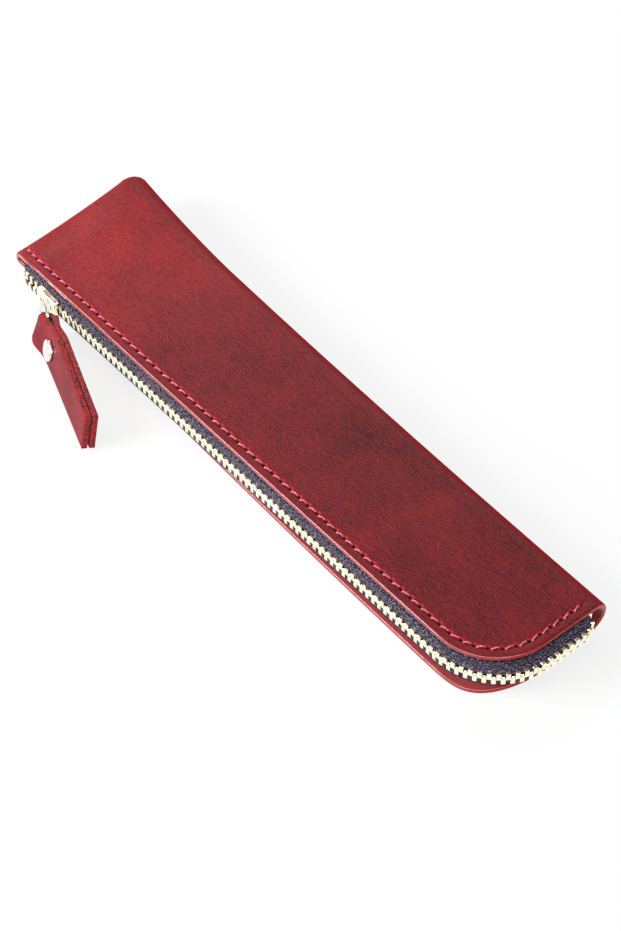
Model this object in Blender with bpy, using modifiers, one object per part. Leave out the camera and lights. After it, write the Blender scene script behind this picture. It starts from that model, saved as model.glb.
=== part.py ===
"""Leather pencil case: one folded blank of leather, an L-shaped metal zip and a riveted leather pull tab.

The case lies on its lower panel. X runs along the fold, from the sewn end (-X) to the zipped short end (+X),
Y runs from the zip to the fold, and Z is up. The origin is under the middle of the case, on its rest face.
"""

import math

import bmesh
import bpy
from mathutils import Matrix, Vector

# Leather blank, in metres
LENGTH = 0.195
WIDTH = 0.0406
HEIGHT = 0.0122
LEATHER = 0.0016
CORNER_RADIUS = 0.018
FOLD_FLARE = 0.0048
FOLD_FLARE_CURVE = 2.2
FOLD_LIFT = 0.0030
FOLD_LIFT_LENGTH = 0.045
FOLD_LIFT_CURVE = 1.6
FOLD_LIFT_SPREAD = 1.8
EDGE_BOW = 0.0003
RIM_OUT = 0.0016
RIM_CORNER = 0.0020
RIM_DRAW = 0.0054
RIM_DRAW_CURVE = 1.7
RIM_TUCK = 0.0012
RIM_TUCK_LENGTH = 0.0135
RIM_TUCK_CURVE = 1.5
RIM_BACK = 0.0010
RIM_BACK_LENGTH = 0.0050
EDGE_BEVEL = 0.0003

# Sewn end, whose leather turns in and meets itself
END_RAMP = 0.013
END_PINCH = 0.0024
END_PUFF = 0.0017
SHOULDER_CURVE = 0.7
TURN_RADIUS = 0.0010
ALLOWANCE = 0.0040
SEAM_GAP = 0.0003

# Sections of the blank, each count from one bend of it to the next
PANEL_STEPS = 5
FOLD_STEPS = 8
RAMP_STEPS = 4
LIFTED_STEPS = 3
STRAIGHT_STEPS = 5

# Clearance between pieces that touch or are sewn together
GAP = 0.0003

# Zip tapes
TAPE = 0.0005
TAPE_FLANGE = 0.0070
TAIL_FLANGE = 0.0010
TAPE_BEND = 0.0003
WALL_OUT = 0.0003
END_WALL_OUT = 0.0015
TAPE_START = 0.0065
TURN_IN = 0.0042
TURN_PAST = 0.0006
TAIL = 0.0050
TAIL_END = 0.0012
TRIM_LENGTH = 0.0040
TAPE_START_STEP = 0.0013
TAPE_SECTIONS = 6

# Zip teeth
TOOTH_PITCH = 0.00225
TOOTH_WIDTH = 0.0008
TOOTH_DEPTH = 0.0020
TOOTH_ROOT = 0.00195
TOOTH_TIP = 0.0004
ROW_SPREAD = 0.0008
PARTED_INSIDE = 0.0012
MESHED_INSIDE = 0.0024
CORD_DEPTH = 0.0009
CORD_HEIGHT = 0.0007
ROW_START = 0.0083
STOP_LENGTH = 0.0014

# Slider, seen along its outer face: the mouth faces the sewn end
SLIDER_FROM_END = 0.0200
SLIDER_LENGTH = 0.0084
SLIDER_PLATE = 0.0009
MOUTH_WALL = 0.0004
TAIL_WALL = 0.0006
CHAIN_CLEARANCE = 0.0003
MOUTH_CLEARANCE = 0.0002
TAPE_SLOT = 0.0012
MOUTH_LENGTH = 0.0027
NECK_LENGTH = 0.0027
DIAMOND_LENGTH = 0.0030
DIAMOND_HALF = 0.00025
DIAMOND_NOSE = 0.00006
SLIDER_CHAMFER = 0.00046
SLIDER_BEVEL = 0.0003

# Bridge on the slider, and the wire link that it holds
BRIDGE_HALF = 0.0026
BRIDGE_WIDTH = 0.0018
BRIDGE_THICKNESS = 0.0007
BRIDGE_BEVEL = 0.00014
PIVOT_OUT = 0.0013
PIVOT_ROOM = 0.00085
LINK_WIRE = 0.0009
LINK_LENGTH = 0.0070
LINK_CORNER = 0.0010
LINK_LEAN = math.radians(15)
LINK_TURN = math.radians(27.5)

# Leather pull tab, one strip folded round the link
TAB_LAYER = 0.0016
TAB_SLIT = 0.0002
LOOP_INNER = 0.00095
LOOP_TAPER = 0.0060
NECK_HALF = 0.0022
NECK_END = 0.0009
LOWER_SIDE = ((0.0011, 0.0046), (0.0022, 0.0055), (0.0060, 0.0055), (0.0112, 0.0051), (0.0429, 0.00445))
UPPER_SIDE = ((0.0013, 0.0046), (0.0042, 0.0042), (0.0065, 0.0045), (0.0120, 0.0058), (0.0401, 0.0046))
TAB_REACH = 0.0062
TAB_LEAN = math.radians(15)
TAB_TURN = math.radians(20.3)
TAB_DROOP = math.radians(1.0)

# Rivet through both layers of the tab
RIVET_PLACE = 0.0094
RIVET_DROP = 0.0008
CAP_RADIUS = 0.00305
CAP_HEIGHT = 0.0009
CAP_RIM = 0.0003
POST_RADIUS = 0.0009
BACK_RADIUS = 0.0026
BACK_HEIGHT = 0.0005

# Seams
STITCH_PITCH = 0.0035
STITCH_INSET = 0.0028
STITCH_START = 0.0021
LOWER_STITCH_START = 0.0065
STITCH_STOP = 0.0010
THREAD_RADIUS = 0.0002
THREAD_DIP = 0.0001
END_STITCHES = 14
END_STITCH_REACH = 0.00053

HALF_LENGTH = LENGTH / 2
HALF_WIDTH = WIDTH / 2
PANEL_MIDDLE = LEATHER / 2
FOLD_RADIUS = (HEIGHT - LEATHER) / 2
SEAM_HALF = (LEATHER + SEAM_GAP) / 2
END_HEIGHT = 2 * (SEAM_HALF + 2 * TURN_RADIUS) + LEATHER
ARC_X = HALF_LENGTH - CORNER_RADIUS
ARC_Y = CORNER_RADIUS - HALF_WIDTH
FOLD_AXIS_Y = HALF_WIDTH - PANEL_MIDDLE - FOLD_RADIUS
SLIDER_X = SLIDER_FROM_END - HALF_LENGTH
PARTED_X = SLIDER_X - SLIDER_LENGTH / 2 + PARTED_INSIDE
MESHED_X = SLIDER_X + SLIDER_LENGTH / 2 - MESHED_INSIDE
CHAIN_HEIGHT = HEIGHT / 2
CHAIN_Y = -HALF_WIDTH - WALL_OUT
PLATE_INNER = TOOTH_DEPTH / 2 + CHAIN_CLEARANCE
PLATE_OUTER = PLATE_INNER + SLIDER_PLATE
PIVOT = Vector((SLIDER_X, CHAIN_Y - PLATE_OUTER - PIVOT_OUT, CHAIN_HEIGHT))
GROOVE_DEPTH = (THREAD_RADIUS + THREAD_DIP + GAP) / math.cos(math.pi / 8)
LOWER_GROOVE_DEPTH = GROOVE_DEPTH + THREAD_RADIUS / math.cos(math.pi / 8)
LOOP_OUTER = LOOP_INNER + TAB_LAYER
TAB_FACE = TAB_SLIT / 2 + TAB_LAYER


def clear_scene():
    for item in list(bpy.data.objects):
        bpy.data.objects.remove(item, do_unlink=True)


def new_collection(name):
    collection = bpy.data.collections.new(name)
    bpy.context.scene.collection.children.link(collection)
    return collection


def new_material(name, colour, roughness, metallic=0.0):
    material = bpy.data.materials.new(name)
    material.use_nodes = True
    shader = material.node_tree.nodes["Principled BSDF"]
    shader.inputs["Base Color"].default_value = (*colour, 1.0)
    shader.inputs["Roughness"].default_value = roughness
    shader.inputs["Metallic"].default_value = metallic
    return material


def add_object(name, data, material=None):
    """A new object: a part in the case's collection if it has a material, else a hidden cutter."""
    item = bpy.data.objects.new(name, data)
    if material:
        data.materials.append(material)
        parts.objects.link(item)
    else:
        cutters.objects.link(item)
        item.hide_render = True
        item.display_type = "WIRE"
    return item


def as_mesh(curve_object, name, material=None):
    """Turns a curve object into a mesh object in the same place, with its caps welded."""
    bpy.context.view_layer.update()
    graph = bpy.context.evaluated_depsgraph_get()
    mesh = bpy.data.meshes.new_from_object(curve_object.evaluated_get(graph))
    place = curve_object.matrix_world.copy()
    bpy.data.objects.remove(curve_object, do_unlink=True)
    mesh.materials.clear()
    shape = bmesh.new()
    shape.from_mesh(mesh)
    bmesh.ops.remove_doubles(shape, verts=shape.verts, dist=1e-7)
    shape.to_mesh(mesh)
    shape.free()
    mesh.name = name
    item = add_object(name, mesh, material)
    item.matrix_world = place
    return item


def curve_data(name, points, dimensions, cyclic):
    curve = bpy.data.curves.new(name, "CURVE")
    curve.dimensions = dimensions
    spline = curve.splines.new("POLY")
    spline.points.add(len(points) - 1)
    for slot, point in zip(spline.points, points):
        slot.co = (*point, 1.0)
    spline.use_cyclic_u = cyclic
    return curve


def tube(name, points, radius, resolution, material=None, cyclic=False):
    """A round wire or thread along points."""
    curve = curve_data(name, points, "3D", cyclic)
    curve.bevel_depth = radius
    curve.bevel_resolution = resolution
    curve.use_fill_caps = not cyclic
    return as_mesh(add_object(name + "_line", curve), name, material)


def prism(name, outline, half_depth, material=None, frame=Matrix()):
    """A flat outline in a frame's XY plane, as thick as half_depth to each side."""
    curve = curve_data(name, [(x, y, 0.0) for x, y in outline], "2D", True)
    curve.fill_mode = "BOTH"
    curve.extrude = half_depth
    item = add_object(name + "_outline", curve)
    item.matrix_world = frame
    return as_mesh(item, name, material)


def turned(name, profile, steps, material, frame):
    """A profile of (radius, height) points, top to bottom down its outer side, turned about a frame's Z."""
    mesh = bpy.data.meshes.new(name)
    edges = [(k, k + 1) for k in range(len(profile) - 1)]
    mesh.from_pydata([(radius, 0.0, height) for radius, height in profile], edges, [])
    item = add_object(name, mesh, material)
    item.matrix_world = frame
    screw = item.modifiers.new("turn", "SCREW")
    screw.steps = steps
    screw.render_steps = steps
    screw.use_merge_vertices = True
    screw.merge_threshold = 0.00001
    return item


def loft(name, rings, material):
    """A closed body through rings that all have the same number of points, with both ends capped."""
    count = len(rings[0])
    faces = [tuple(range(count))]
    for first in range(0, (len(rings) - 1) * count, count):
        for k in range(count):
            after = (k + 1) % count
            faces.append((first + k, first + count + k, first + count + after, first + after))
    last = (len(rings) - 1) * count
    faces.append(tuple(last + k for k in reversed(range(count))))
    mesh = bpy.data.meshes.new(name)
    mesh.from_pydata([point for ring in rings for point in ring], [], faces)
    shape = bmesh.new()
    shape.from_mesh(mesh)
    bmesh.ops.recalc_face_normals(shape, faces=shape.faces)
    shape.to_mesh(mesh)
    shape.free()
    return add_object(name, mesh, material)


def sheet(name, rows, thickness, material):
    """An open surface through rows of points, given its thickness to both sides."""
    count = len(rows[0])
    faces = []
    for first in range(0, (len(rows) - 1) * count, count):
        for k in range(count - 1):
            faces.append((first + k, first + k + 1, first + count + k + 1, first + count + k))
    mesh = bpy.data.meshes.new(name)
    mesh.from_pydata([point for row in rows for point in row], [], faces)
    item = add_object(name, mesh, material)
    solid = item.modifiers.new("thickness", "SOLIDIFY")
    solid.thickness = thickness
    solid.offset = 0.0
    solid.use_even_offset = True
    solid.use_quality_normals = True
    return item


def boolean(item, operation, other):
    modifier = item.modifiers.new(operation.lower(), "BOOLEAN")
    modifier.operation = operation
    modifier.object = other
    modifier.solver = "EXACT"


def bevel(item, width, angle=60):
    modifier = item.modifiers.new("edges", "BEVEL")
    modifier.width = width
    modifier.segments = 1
    modifier.limit_method = "ANGLE"
    modifier.angle_limit = math.radians(angle)


def shade_smooth(item, angle=40):
    item.data.shade_smooth()
    item.data.set_sharp_from_angle(angle=math.radians(angle))


def mix(start, end, share):
    return start + (end - start) * share


def pinch(x):
    """1 at the sewn end, where the two panels are drawn together, and 0 from the end of the ramp on."""
    share = min(max((x + HALF_LENGTH) / END_RAMP, 0.0), 1.0)
    return (1.0 - share) ** 2


def straight_edge(x):
    """Y of the line that the zip follows beside the case, which is pinched in at the sewn end."""
    return -HALF_WIDTH + END_PINCH * pinch(x)


def upper_edge(x):
    """Y of the upper panel's raw edge, a little bowed, with its round corner at the zipped end."""
    if x > ARC_X:
        return ARC_Y - math.sqrt(max(CORNER_RADIUS**2 - (x - ARC_X) ** 2, 0.0))
    return straight_edge(x) - EDGE_BOW * math.sin(math.pi * (x + HALF_LENGTH) / (ARC_X + HALF_LENGTH))


def lower_edge(x):
    """Y of the lower panel's raw edge: a rim beyond the zip that is drawn in towards the sewn end."""
    if x > ARC_X:
        angle = math.acos(min((x - ARC_X) / CORNER_RADIUS, 1.0))
        full = RIM_CORNER * math.sin(2 * angle) ** 2
        return ARC_Y - (CORNER_RADIUS + RIM_OUT) * math.sin(angle) - full
    drawn = (ARC_X - x) / (ARC_X + HALF_LENGTH)
    tucked = max(1.0 - (x + HALF_LENGTH) / RIM_TUCK_LENGTH, 0.0)
    return -HALF_WIDTH - RIM_OUT + RIM_DRAW * drawn**RIM_DRAW_CURVE + RIM_TUCK * tucked**RIM_TUCK_CURVE


def fold_axis(x):
    """Y of the fold's axis: the fold bows out towards the sewn end."""
    return FOLD_AXIS_Y + FOLD_FLARE * ((HALF_LENGTH - x) / LENGTH) ** FOLD_FLARE_CURVE


def fold_lift(x):
    """How much higher the fold stands near the sewn end, where the turned-in leather props it up."""
    return FOLD_LIFT * max(1.0 - (x + HALF_LENGTH) / FOLD_LIFT_LENGTH, 0.0) ** FOLD_LIFT_CURVE


def top_height(x, y):
    """Height of the upper panel's outer face: lifted at the fold and pinched down at the zip."""
    front = min(max((fold_axis(x) - y) / (fold_axis(x) - upper_edge(x)), 0.0), 1.0)
    pinched = (HEIGHT - END_HEIGHT) * pinch(x) * front**SHOULDER_CURVE
    return HEIGHT + fold_lift(x) * (1.0 - front) ** FOLD_LIFT_SPREAD - pinched


def section_point(x, place):
    """A point on the middle of the leather in the section at x, and the half height there.

    place runs from 0 at the lower raw edge, over 1 and 2 at the fold's ends, to 3 at the upper raw edge.
    """
    axis = fold_axis(x)
    if 1.0 < place < 2.0:
        angle = math.pi * (place - 1.5)
        radius = FOLD_RADIUS + fold_lift(x) / 2
        offset = Vector((0.0, math.cos(angle), math.sin(angle))) * radius
        return Vector((x, axis, PANEL_MIDDLE + radius)), offset
    share = place if place <= 1.0 else 3.0 - place
    edge = lower_edge(x) if place <= 1.0 else upper_edge(x)
    y = mix(edge, axis, share)
    half = (top_height(x, y) - LEATHER) / 2
    side = -1.0 if place <= 1.0 else 1.0
    return Vector((x, y, PANEL_MIDDLE + half)), Vector((0.0, 0.0, side * half))


def leather_sections():
    """Rows of points over the blank, from the turned-in allowance of the sewn end to the zipped end."""
    panel = [k / PANEL_STEPS for k in range(PANEL_STEPS + 1)]
    fold = [1.0 + k / FOLD_STEPS for k in range(1, FOLD_STEPS)]
    places = panel + fold + [2.0 + share for share in panel]
    rows = []
    back = -HALF_LENGTH + PANEL_MIDDLE
    for step in (0, 1):
        rows.append([allowance_point(back + TURN_RADIUS + ALLOWANCE * (1 - step), p) for p in places])
    for angle in (30, 60, 90):
        rows.append([turned_point(back, p, angle) for p in places])
    for angle in (60, 30, 0):
        rows.append([puffed_point(back, p, angle) for p in places])
    ramp_end = -HALF_LENGTH + END_RAMP
    for k in range(1, RAMP_STEPS + 1):
        share = (k / RAMP_STEPS) ** 1.5
        rows.append([panel_point(mix(back + puff(p), ramp_end, share), p) for p in places])
    lift_end = -HALF_LENGTH + FOLD_LIFT_LENGTH
    for k in range(1, LIFTED_STEPS + 1):
        rows.append([panel_point(mix(ramp_end, lift_end, k / LIFTED_STEPS), p) for p in places])
    for k in range(1, STRAIGHT_STEPS + 1):
        rows.append([panel_point(mix(lift_end, ARC_X, k / STRAIGHT_STEPS), p) for p in places])
    for angle in range(10, 91, 10):
        x = ARC_X + CORNER_RADIUS * math.sin(math.radians(angle))
        rows.append([panel_point(x, p) for p in places])
    return rows


def drawn_back(x, y, place):
    """How far the lower panel and the fold under it stand back from the upper panel at the zipped end."""
    near_end = min(max((x - ARC_X) / CORNER_RADIUS, 0.0), 1.0)
    past_corner = min(max((y - ARC_Y) / RIM_BACK_LENGTH, 0.0), 1.0)
    return RIM_BACK * near_end * past_corner * min(max(2.0 - place, 0.0), 1.0)


def panel_point(x, place):
    centre, offset = section_point(x, place)
    point = centre + offset
    point.x -= drawn_back(x, point.y, place)
    return point


def puff(place):
    """How far along X the leather takes to round over at the sewn end: tight at the zip, full at the fold."""
    share = min(place, 3.0 - place, 1.0)
    return mix(TURN_RADIUS, END_PUFF, share**2)


def puffed_point(back, place, angle):
    """A point where the leather rounds over the sewn end: 0 is on the panel, 90 degrees on the end face."""
    reach = puff(place)
    centre, offset = section_point(back + reach, place)
    drop = offset.length - SEAM_HALF - TURN_RADIUS
    turn = math.radians(angle)
    point = centre + offset * (1.0 - drop * (1.0 - math.cos(turn)) / offset.length)
    point.x = back + reach * (1.0 - math.sin(turn))
    return point


def turned_point(back, place, angle):
    """A point where the leather turns into the case: 0 is on the allowance, 90 degrees on the end face."""
    centre, offset = section_point(back + puff(place), place)
    turn = math.radians(angle)
    point = centre + offset * (SEAM_HALF + TURN_RADIUS * (1.0 - math.cos(turn))) / offset.length
    point.x = back + TURN_RADIUS * (1.0 - math.sin(turn))
    return point


def allowance_point(x, place):
    """A point on the seam allowance, which lies flat against the other one inside the case."""
    centre, offset = section_point(-HALF_LENGTH + PANEL_MIDDLE + puff(place), place)
    point = centre + offset * SEAM_HALF / offset.length
    point.x = x
    return point


def end_wall_out(share):
    """How far the zip stands off the upper panel's edge round the corner: more on the short end."""
    return mix(WALL_OUT, END_WALL_OUT, share * share * (3.0 - 2.0 * share))


def chain_line(step=0.0005):
    """Points of the zip's middle line in plan, each with its distance from the start and its direction."""
    turn_y = FOLD_AXIS_Y + TURN_PAST - TURN_IN
    end_x = HALF_LENGTH + END_WALL_OUT
    plan = []
    start = -HALF_LENGTH + TAPE_START
    count = int((ARC_X - start) / step)
    for k in range(count):
        x = mix(start, ARC_X, k / count)
        plan.append(Vector((x, straight_edge(x) - WALL_OUT, 0.0)))
    for k in range(37):
        angle = math.radians(2.5 * k)
        radius = CORNER_RADIUS + end_wall_out(k / 36)
        plan.append(Vector((ARC_X + radius * math.sin(angle), ARC_Y - radius * math.cos(angle), 0.0)))
    count = int((turn_y - ARC_Y) / step)
    for k in range(1, count):
        plan.append(Vector((end_x, mix(ARC_Y, turn_y, k / count), 0.0)))
    for k in range(19):
        angle = math.radians(5 * k)
        turned_in = TURN_IN * (1 - math.cos(angle))
        plan.append(Vector((end_x - turned_in, turn_y + TURN_IN * math.sin(angle), 0.0)))
    plan.append(plan[-1] - Vector((TAIL, 0.0, 0.0)))
    length = [0.0]
    for before, after in zip(plan, plan[1:]):
        length.append(length[-1] + (after - before).length)
    return plan, length


def chain_at(distance):
    """Place and direction of the zip's middle line at a distance along it."""
    k = 1
    while k < len(line_length) - 1 and line_length[k] < distance:
        k += 1
    run = line[k] - line[k - 1]
    share = (distance - line_length[k - 1]) / run.length
    return line[k - 1] + run * share, run.normalized()


def wall_height(point):
    """Height of the upper panel's outer face at its edge, beside a point of the zip."""
    if point.x > ARC_X:
        return HEIGHT
    return top_height(point.x, upper_edge(point.x))


def spread(point):
    """How far each row of teeth stands off the middle, which is nothing where the zip is closed."""
    share = min(max((MESHED_X - point.x) / (MESHED_X - PARTED_X), 0.0), 1.0)
    return ROW_SPREAD * share**2 * (3.0 - 2.0 * share)


def across(point, direction, out, height):
    """A point beside the zip's middle line: out is away from the case."""
    outward = Vector((direction.y, -direction.x, 0.0))
    return Vector((point.x, point.y, 0.0)) + outward * out + Vector((0.0, 0.0, height))


def corner_end():
    """Distance along the zip at which its round corner ends."""
    return next(length for point, length in zip(line, line_length) if point.y > ARC_Y - 0.000001)


def turn_start():
    return line_length[-1] - TAIL - math.pi / 2 * TURN_IN


def extra_out(distance):
    """How much further than on the long side the zip stands out from the tapes' sewn flanges."""
    straight_end = ARC_X - line[0].x
    share = min(max((distance - straight_end) / (corner_end() - straight_end), 0.0), 1.0)
    turned = min(max((distance - turn_start()) / (math.pi / 2 * TURN_IN), 0.0), 1.0)
    return (end_wall_out(share) - WALL_OUT) * (1.0 - turned)


def tape_stations():
    """Distances along the zip at which a tape's section is placed: close at the slider and in the bends."""
    straight_end = ARC_X - line[0].x
    parted = PARTED_X - line[0].x
    meshed = MESHED_X - line[0].x
    stops = [k * TAPE_START_STEP for k in range(4)]
    stops += [mix(parted, meshed, k / 3) for k in range(4)]
    stops += [mix(meshed, straight_end, k / TAPE_SECTIONS) for k in range(1, TAPE_SECTIONS + 1)]
    stops += [mix(straight_end, corner_end(), k / 9) for k in range(1, 10)]
    turn = turn_start()
    stops += [turn - TRIM_LENGTH, turn]
    stops += [turn + math.pi / 2 * TURN_IN * k / 6 for k in range(1, 7)]
    return sorted(stops) + [line_length[-1]]


def flange_width(distance):
    """The tape's sewn flange, which is trimmed away where the zip turns into the case."""
    share = min(max((turn_start() - distance) / TRIM_LENGTH, 0.0), 1.0)
    return mix(TAIL_FLANGE, TAPE_FLANGE, share)


def tape(name, side, material):
    """One tape: a flange sewn under its panel, and a wall down to the edge that holds the teeth."""
    rows = []
    for distance in tape_stations():
        point, direction = chain_at(distance)
        height = wall_height(point)
        middle = height / 2
        seat = LEATHER + GAP + TAPE / 2
        flange = flange_width(distance)
        extra = extra_out(distance)
        row = []
        for share in (1.0, 0.5, 0.0):
            out = -mix(TAPE_BEND, flange, share) - extra
            spot = across(point, direction, out, 0.0)
            local = height
            if side > 0 and spot.x < -HALF_LENGTH + END_RAMP:
                local = top_height(spot.x, max(spot.y, upper_edge(spot.x)))
            row.append(across(point, direction, out, local - seat if side > 0 else seat))
        bend = height - seat - TAPE_BEND if side > 0 else seat + TAPE_BEND
        row.append(across(point, direction, -extra, bend))
        row.append(across(point, direction, 0.0, middle + side * (TOOTH_ROOT + spread(point) + GAP)))
        rows.append(row)
    return sheet(name, rows, TAPE, material)


def tooth_ring(point, direction, along, half_depth, low, high):
    spot = point + direction * along
    return [
        across(spot, direction, -half_depth, low),
        across(spot, direction, half_depth, low),
        across(spot, direction, half_depth, high),
        across(spot, direction, -half_depth, high),
    ]


def row_length():
    return line_length[-1] - TAIL_END - STOP_LENGTH - GAP


def teeth(name, side, material):
    """One row of teeth on the woven cord that carries them."""
    rings = []
    distance = ROW_START - TAPE_START + TOOTH_WIDTH
    if side < 0:
        distance += TOOTH_PITCH / 2
    while distance < row_length() - TOOTH_PITCH:
        point, direction = chain_at(distance)
        middle = wall_height(point) / 2
        stand = side * spread(point)
        root = middle + stand + side * TOOTH_ROOT
        tip = middle + stand - side * TOOTH_TIP
        cord = root - side * (TOOTH_ROOT - TOOTH_TIP - CORD_HEIGHT) / 2
        thin = CORD_DEPTH / 2, cord - side * CORD_HEIGHT, cord
        thick = TOOTH_DEPTH / 2, tip, root
        for along, size in ((-1, thin), (-1, thick), (1, thick), (1, thin)):
            rings.append(tooth_ring(point, direction, along * TOOTH_WIDTH / 2, *size))
        distance += TOOTH_PITCH
    return loft(name, rings, material)


def stop_block(name, start, length, low, high, material):
    """A block crimped on the tape between two heights, measured from the zip's middle."""
    rings = []
    half = TOOTH_DEPTH / 2
    for distance in (start, start + length):
        point, direction = chain_at(distance)
        middle = wall_height(point) / 2
        rings.append(tooth_ring(point, direction, 0.0, half, middle + low, middle + high))
    return loft(name, rings, material)


def zip_stops():
    start = ROW_START - TAPE_START - GAP - STOP_LENGTH
    low = ROW_SPREAD - TOOTH_TIP
    high = ROW_SPREAD + TOOTH_ROOT
    stop_block("upper_top_stop", start, STOP_LENGTH, low, high, brass)
    stop_block("lower_top_stop", start, STOP_LENGTH, -high, -low, brass)
    stop_block("bottom_stop", row_length() + GAP, STOP_LENGTH, -TOOTH_ROOT, TOOTH_ROOT, brass)


def mirrored(points):
    return points + [(x, -y) for x, y in reversed(points)]


def upright(place):
    """A frame whose XY plane stands along X and Z, with its Z axis towards the zip side."""
    return Matrix.Translation(place) @ Matrix.Rotation(math.radians(90), 4, "X")


def slider():
    """The slider's two plates with their guide walls, joined by the diamond that parts the rows."""
    half = SLIDER_LENGTH / 2
    mouth = TOOTH_ROOT + ROW_SPREAD + MOUTH_CLEARANCE
    tail = TOOTH_ROOT + CHAIN_CLEARANCE
    mouth_end = -half + MOUTH_LENGTH
    tail_start = mouth_end + NECK_LENGTH
    frame = upright((SLIDER_X, CHAIN_Y, CHAIN_HEIGHT))
    wide = mouth + MOUTH_WALL
    narrow = tail + TAIL_WALL
    outline = [(-half, wide - SLIDER_CHAMFER), (-half + SLIDER_CHAMFER, wide), (mouth_end, wide)]
    outline += [(tail_start, narrow), (half, narrow)]
    body = prism("slider_body", mirrored(outline), PLATE_OUTER, brass, frame)
    bevel(body, SLIDER_BEVEL)
    beyond = half + GAP
    channel = [(-beyond, mouth), (mouth_end, mouth), (tail_start, tail), (beyond, tail)]
    boolean(body, "DIFFERENCE", prism("slider_channel", mirrored(channel), PLATE_INNER, frame=frame))
    slot = [(-beyond, wide + GAP), (beyond, wide + GAP)]
    boolean(body, "DIFFERENCE", prism("tape_slot", mirrored(slot), TAPE_SLOT / 2, frame=frame))
    nose = -half + DIAMOND_LENGTH
    diamond = [(-half + DIAMOND_HALF, DIAMOND_HALF), (nose, DIAMOND_NOSE)]
    post = prism("slider_diamond", mirrored(diamond), PLATE_OUTER - SLIDER_PLATE / 2, frame=frame)
    boolean(body, "UNION", post)
    return body


def arch(half, height, steps=10):
    turns = [math.pi * k / steps for k in range(steps + 1)]
    return [(half * math.cos(turn), height * math.sin(turn)) for turn in turns]


def bridge():
    """The arch on the slider's outer plate that the pull link passes under."""
    foot = CHAIN_Y - PLATE_OUTER - GAP
    height = PIVOT_OUT + PIVOT_ROOM - GAP
    inside = arch(BRIDGE_HALF - BRIDGE_THICKNESS, height)
    outside = arch(BRIDGE_HALF, height + BRIDGE_THICKNESS)
    frame = Matrix.Translation((SLIDER_X, foot, CHAIN_HEIGHT)) @ Matrix.Rotation(math.pi, 4, "X")
    item = prism("slider_bridge", outside + list(reversed(inside)), BRIDGE_WIDTH / 2, brass, frame)
    bevel(item, BRIDGE_BEVEL)
    return item


def pull_frame(lean, turn):
    """A frame on the pull: X along it, Y out of its face and Z across it, downwards."""
    along = Vector((math.cos(turn), -math.sin(turn), 0.0)) * math.cos(TAB_DROOP)
    along.z = -math.sin(TAB_DROOP)
    level = along.cross(Vector((0.0, 0.0, 1.0))).normalized()
    rise = level.cross(along)
    face = level * math.cos(lean) + rise * math.sin(lean)
    frame = Matrix((along, face, along.cross(face))).transposed().to_4x4()
    frame.translation = PIVOT
    return frame


def link():
    """The closed wire link, from its bar under the bridge to its bar in the tab's loop."""
    half = NECK_HALF + GAP + LINK_WIRE / 2
    points = []
    corners = ((0.0, -1, 180), (LINK_LENGTH, -1, 270), (LINK_LENGTH, 1, 0), (0.0, 1, 90))
    for end, side, first in corners:
        centre_x = end + (LINK_CORNER if end == 0.0 else -LINK_CORNER)
        for k in range(4):
            angle = math.radians(first + 30 * k)
            x = centre_x + LINK_CORNER * math.cos(angle)
            z = side * (half - LINK_CORNER) + LINK_CORNER * math.sin(angle)
            points.append(pull_frame(LINK_LEAN, LINK_TURN) @ Vector((x, 0.0, z)))
    item = tube("pull_link", points, LINK_WIRE / 2, 2, steel, cyclic=True)
    shade_smooth(item)
    return item


def strip_profile(face, loop):
    """Half the folded strip's side view, from the loop's top to the far end, as distances off its middle."""
    points = []
    for angle in range(180, 79, -20):
        turn = math.radians(angle)
        points.append((loop * math.cos(turn), loop * math.sin(turn)))
    start = points[-1]
    for share in (0.25, 0.5, 0.75, 1.0):
        blend = share * share * (3.0 - 2.0 * share)
        points.append((mix(start[0], LOOP_TAPER, share), mix(start[1], face, blend)))
    return points


def tab_outline():
    """The strip's outline in its own plane: a neck in the link, a head that hangs low and a slanting end."""
    neck = [(-LOOP_OUTER - GAP, NECK_HALF), (NECK_END, NECK_HALF)]
    lower = neck + list(LOWER_SIDE)
    upper = neck + list(UPPER_SIDE)
    return lower + [(x, -y) for x, y in reversed(upper)]


def tab():
    """One strip of leather, folded double round the link, with the hole for its rivet."""
    frame = pull_frame(TAB_LEAN, TAB_TURN)
    frame.translation = pull_frame(LINK_LEAN, LINK_TURN) @ Vector((LINK_LENGTH, 0.0, 0.0))
    beyond = LOWER_SIDE[-1][0] + GAP
    outer = strip_profile(TAB_FACE, LOOP_OUTER) + [(beyond, TAB_FACE)]
    inner = strip_profile(TAB_SLIT / 2, LOOP_INNER) + [(beyond, TAB_SLIT / 2)]
    far = [(x, -y) for x, y in outer[1:]]
    far_inner = [(x, -y) for x, y in inner[1:]]
    side_view = list(reversed(far)) + outer + list(reversed(inner)) + far_inner
    strip = prism("pull_tab", side_view, TAB_REACH, tab_leather, frame)
    plan_frame = frame @ Matrix.Rotation(math.radians(90), 4, "X")
    plan = prism("tab_outline", tab_outline(), LOOP_OUTER + GAP, frame=plan_frame)
    boolean(strip, "INTERSECT", plan)
    across_strip = Matrix.Rotation(math.radians(-90), 4, "X")
    hole_frame = frame @ Matrix.Translation((RIVET_PLACE, 0.0, RIVET_DROP)) @ across_strip
    hole = tube_hole(hole_frame)
    boolean(strip, "DIFFERENCE", hole)
    rivet(hole_frame)
    return strip


def tube_hole(frame):
    turns = [math.radians(30 * k) for k in range(12)]
    radius = POST_RADIUS + GAP
    outline = [(radius * math.cos(turn), radius * math.sin(turn)) for turn in turns]
    return prism("rivet_hole", outline, TAB_FACE + GAP, frame=frame)


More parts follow.
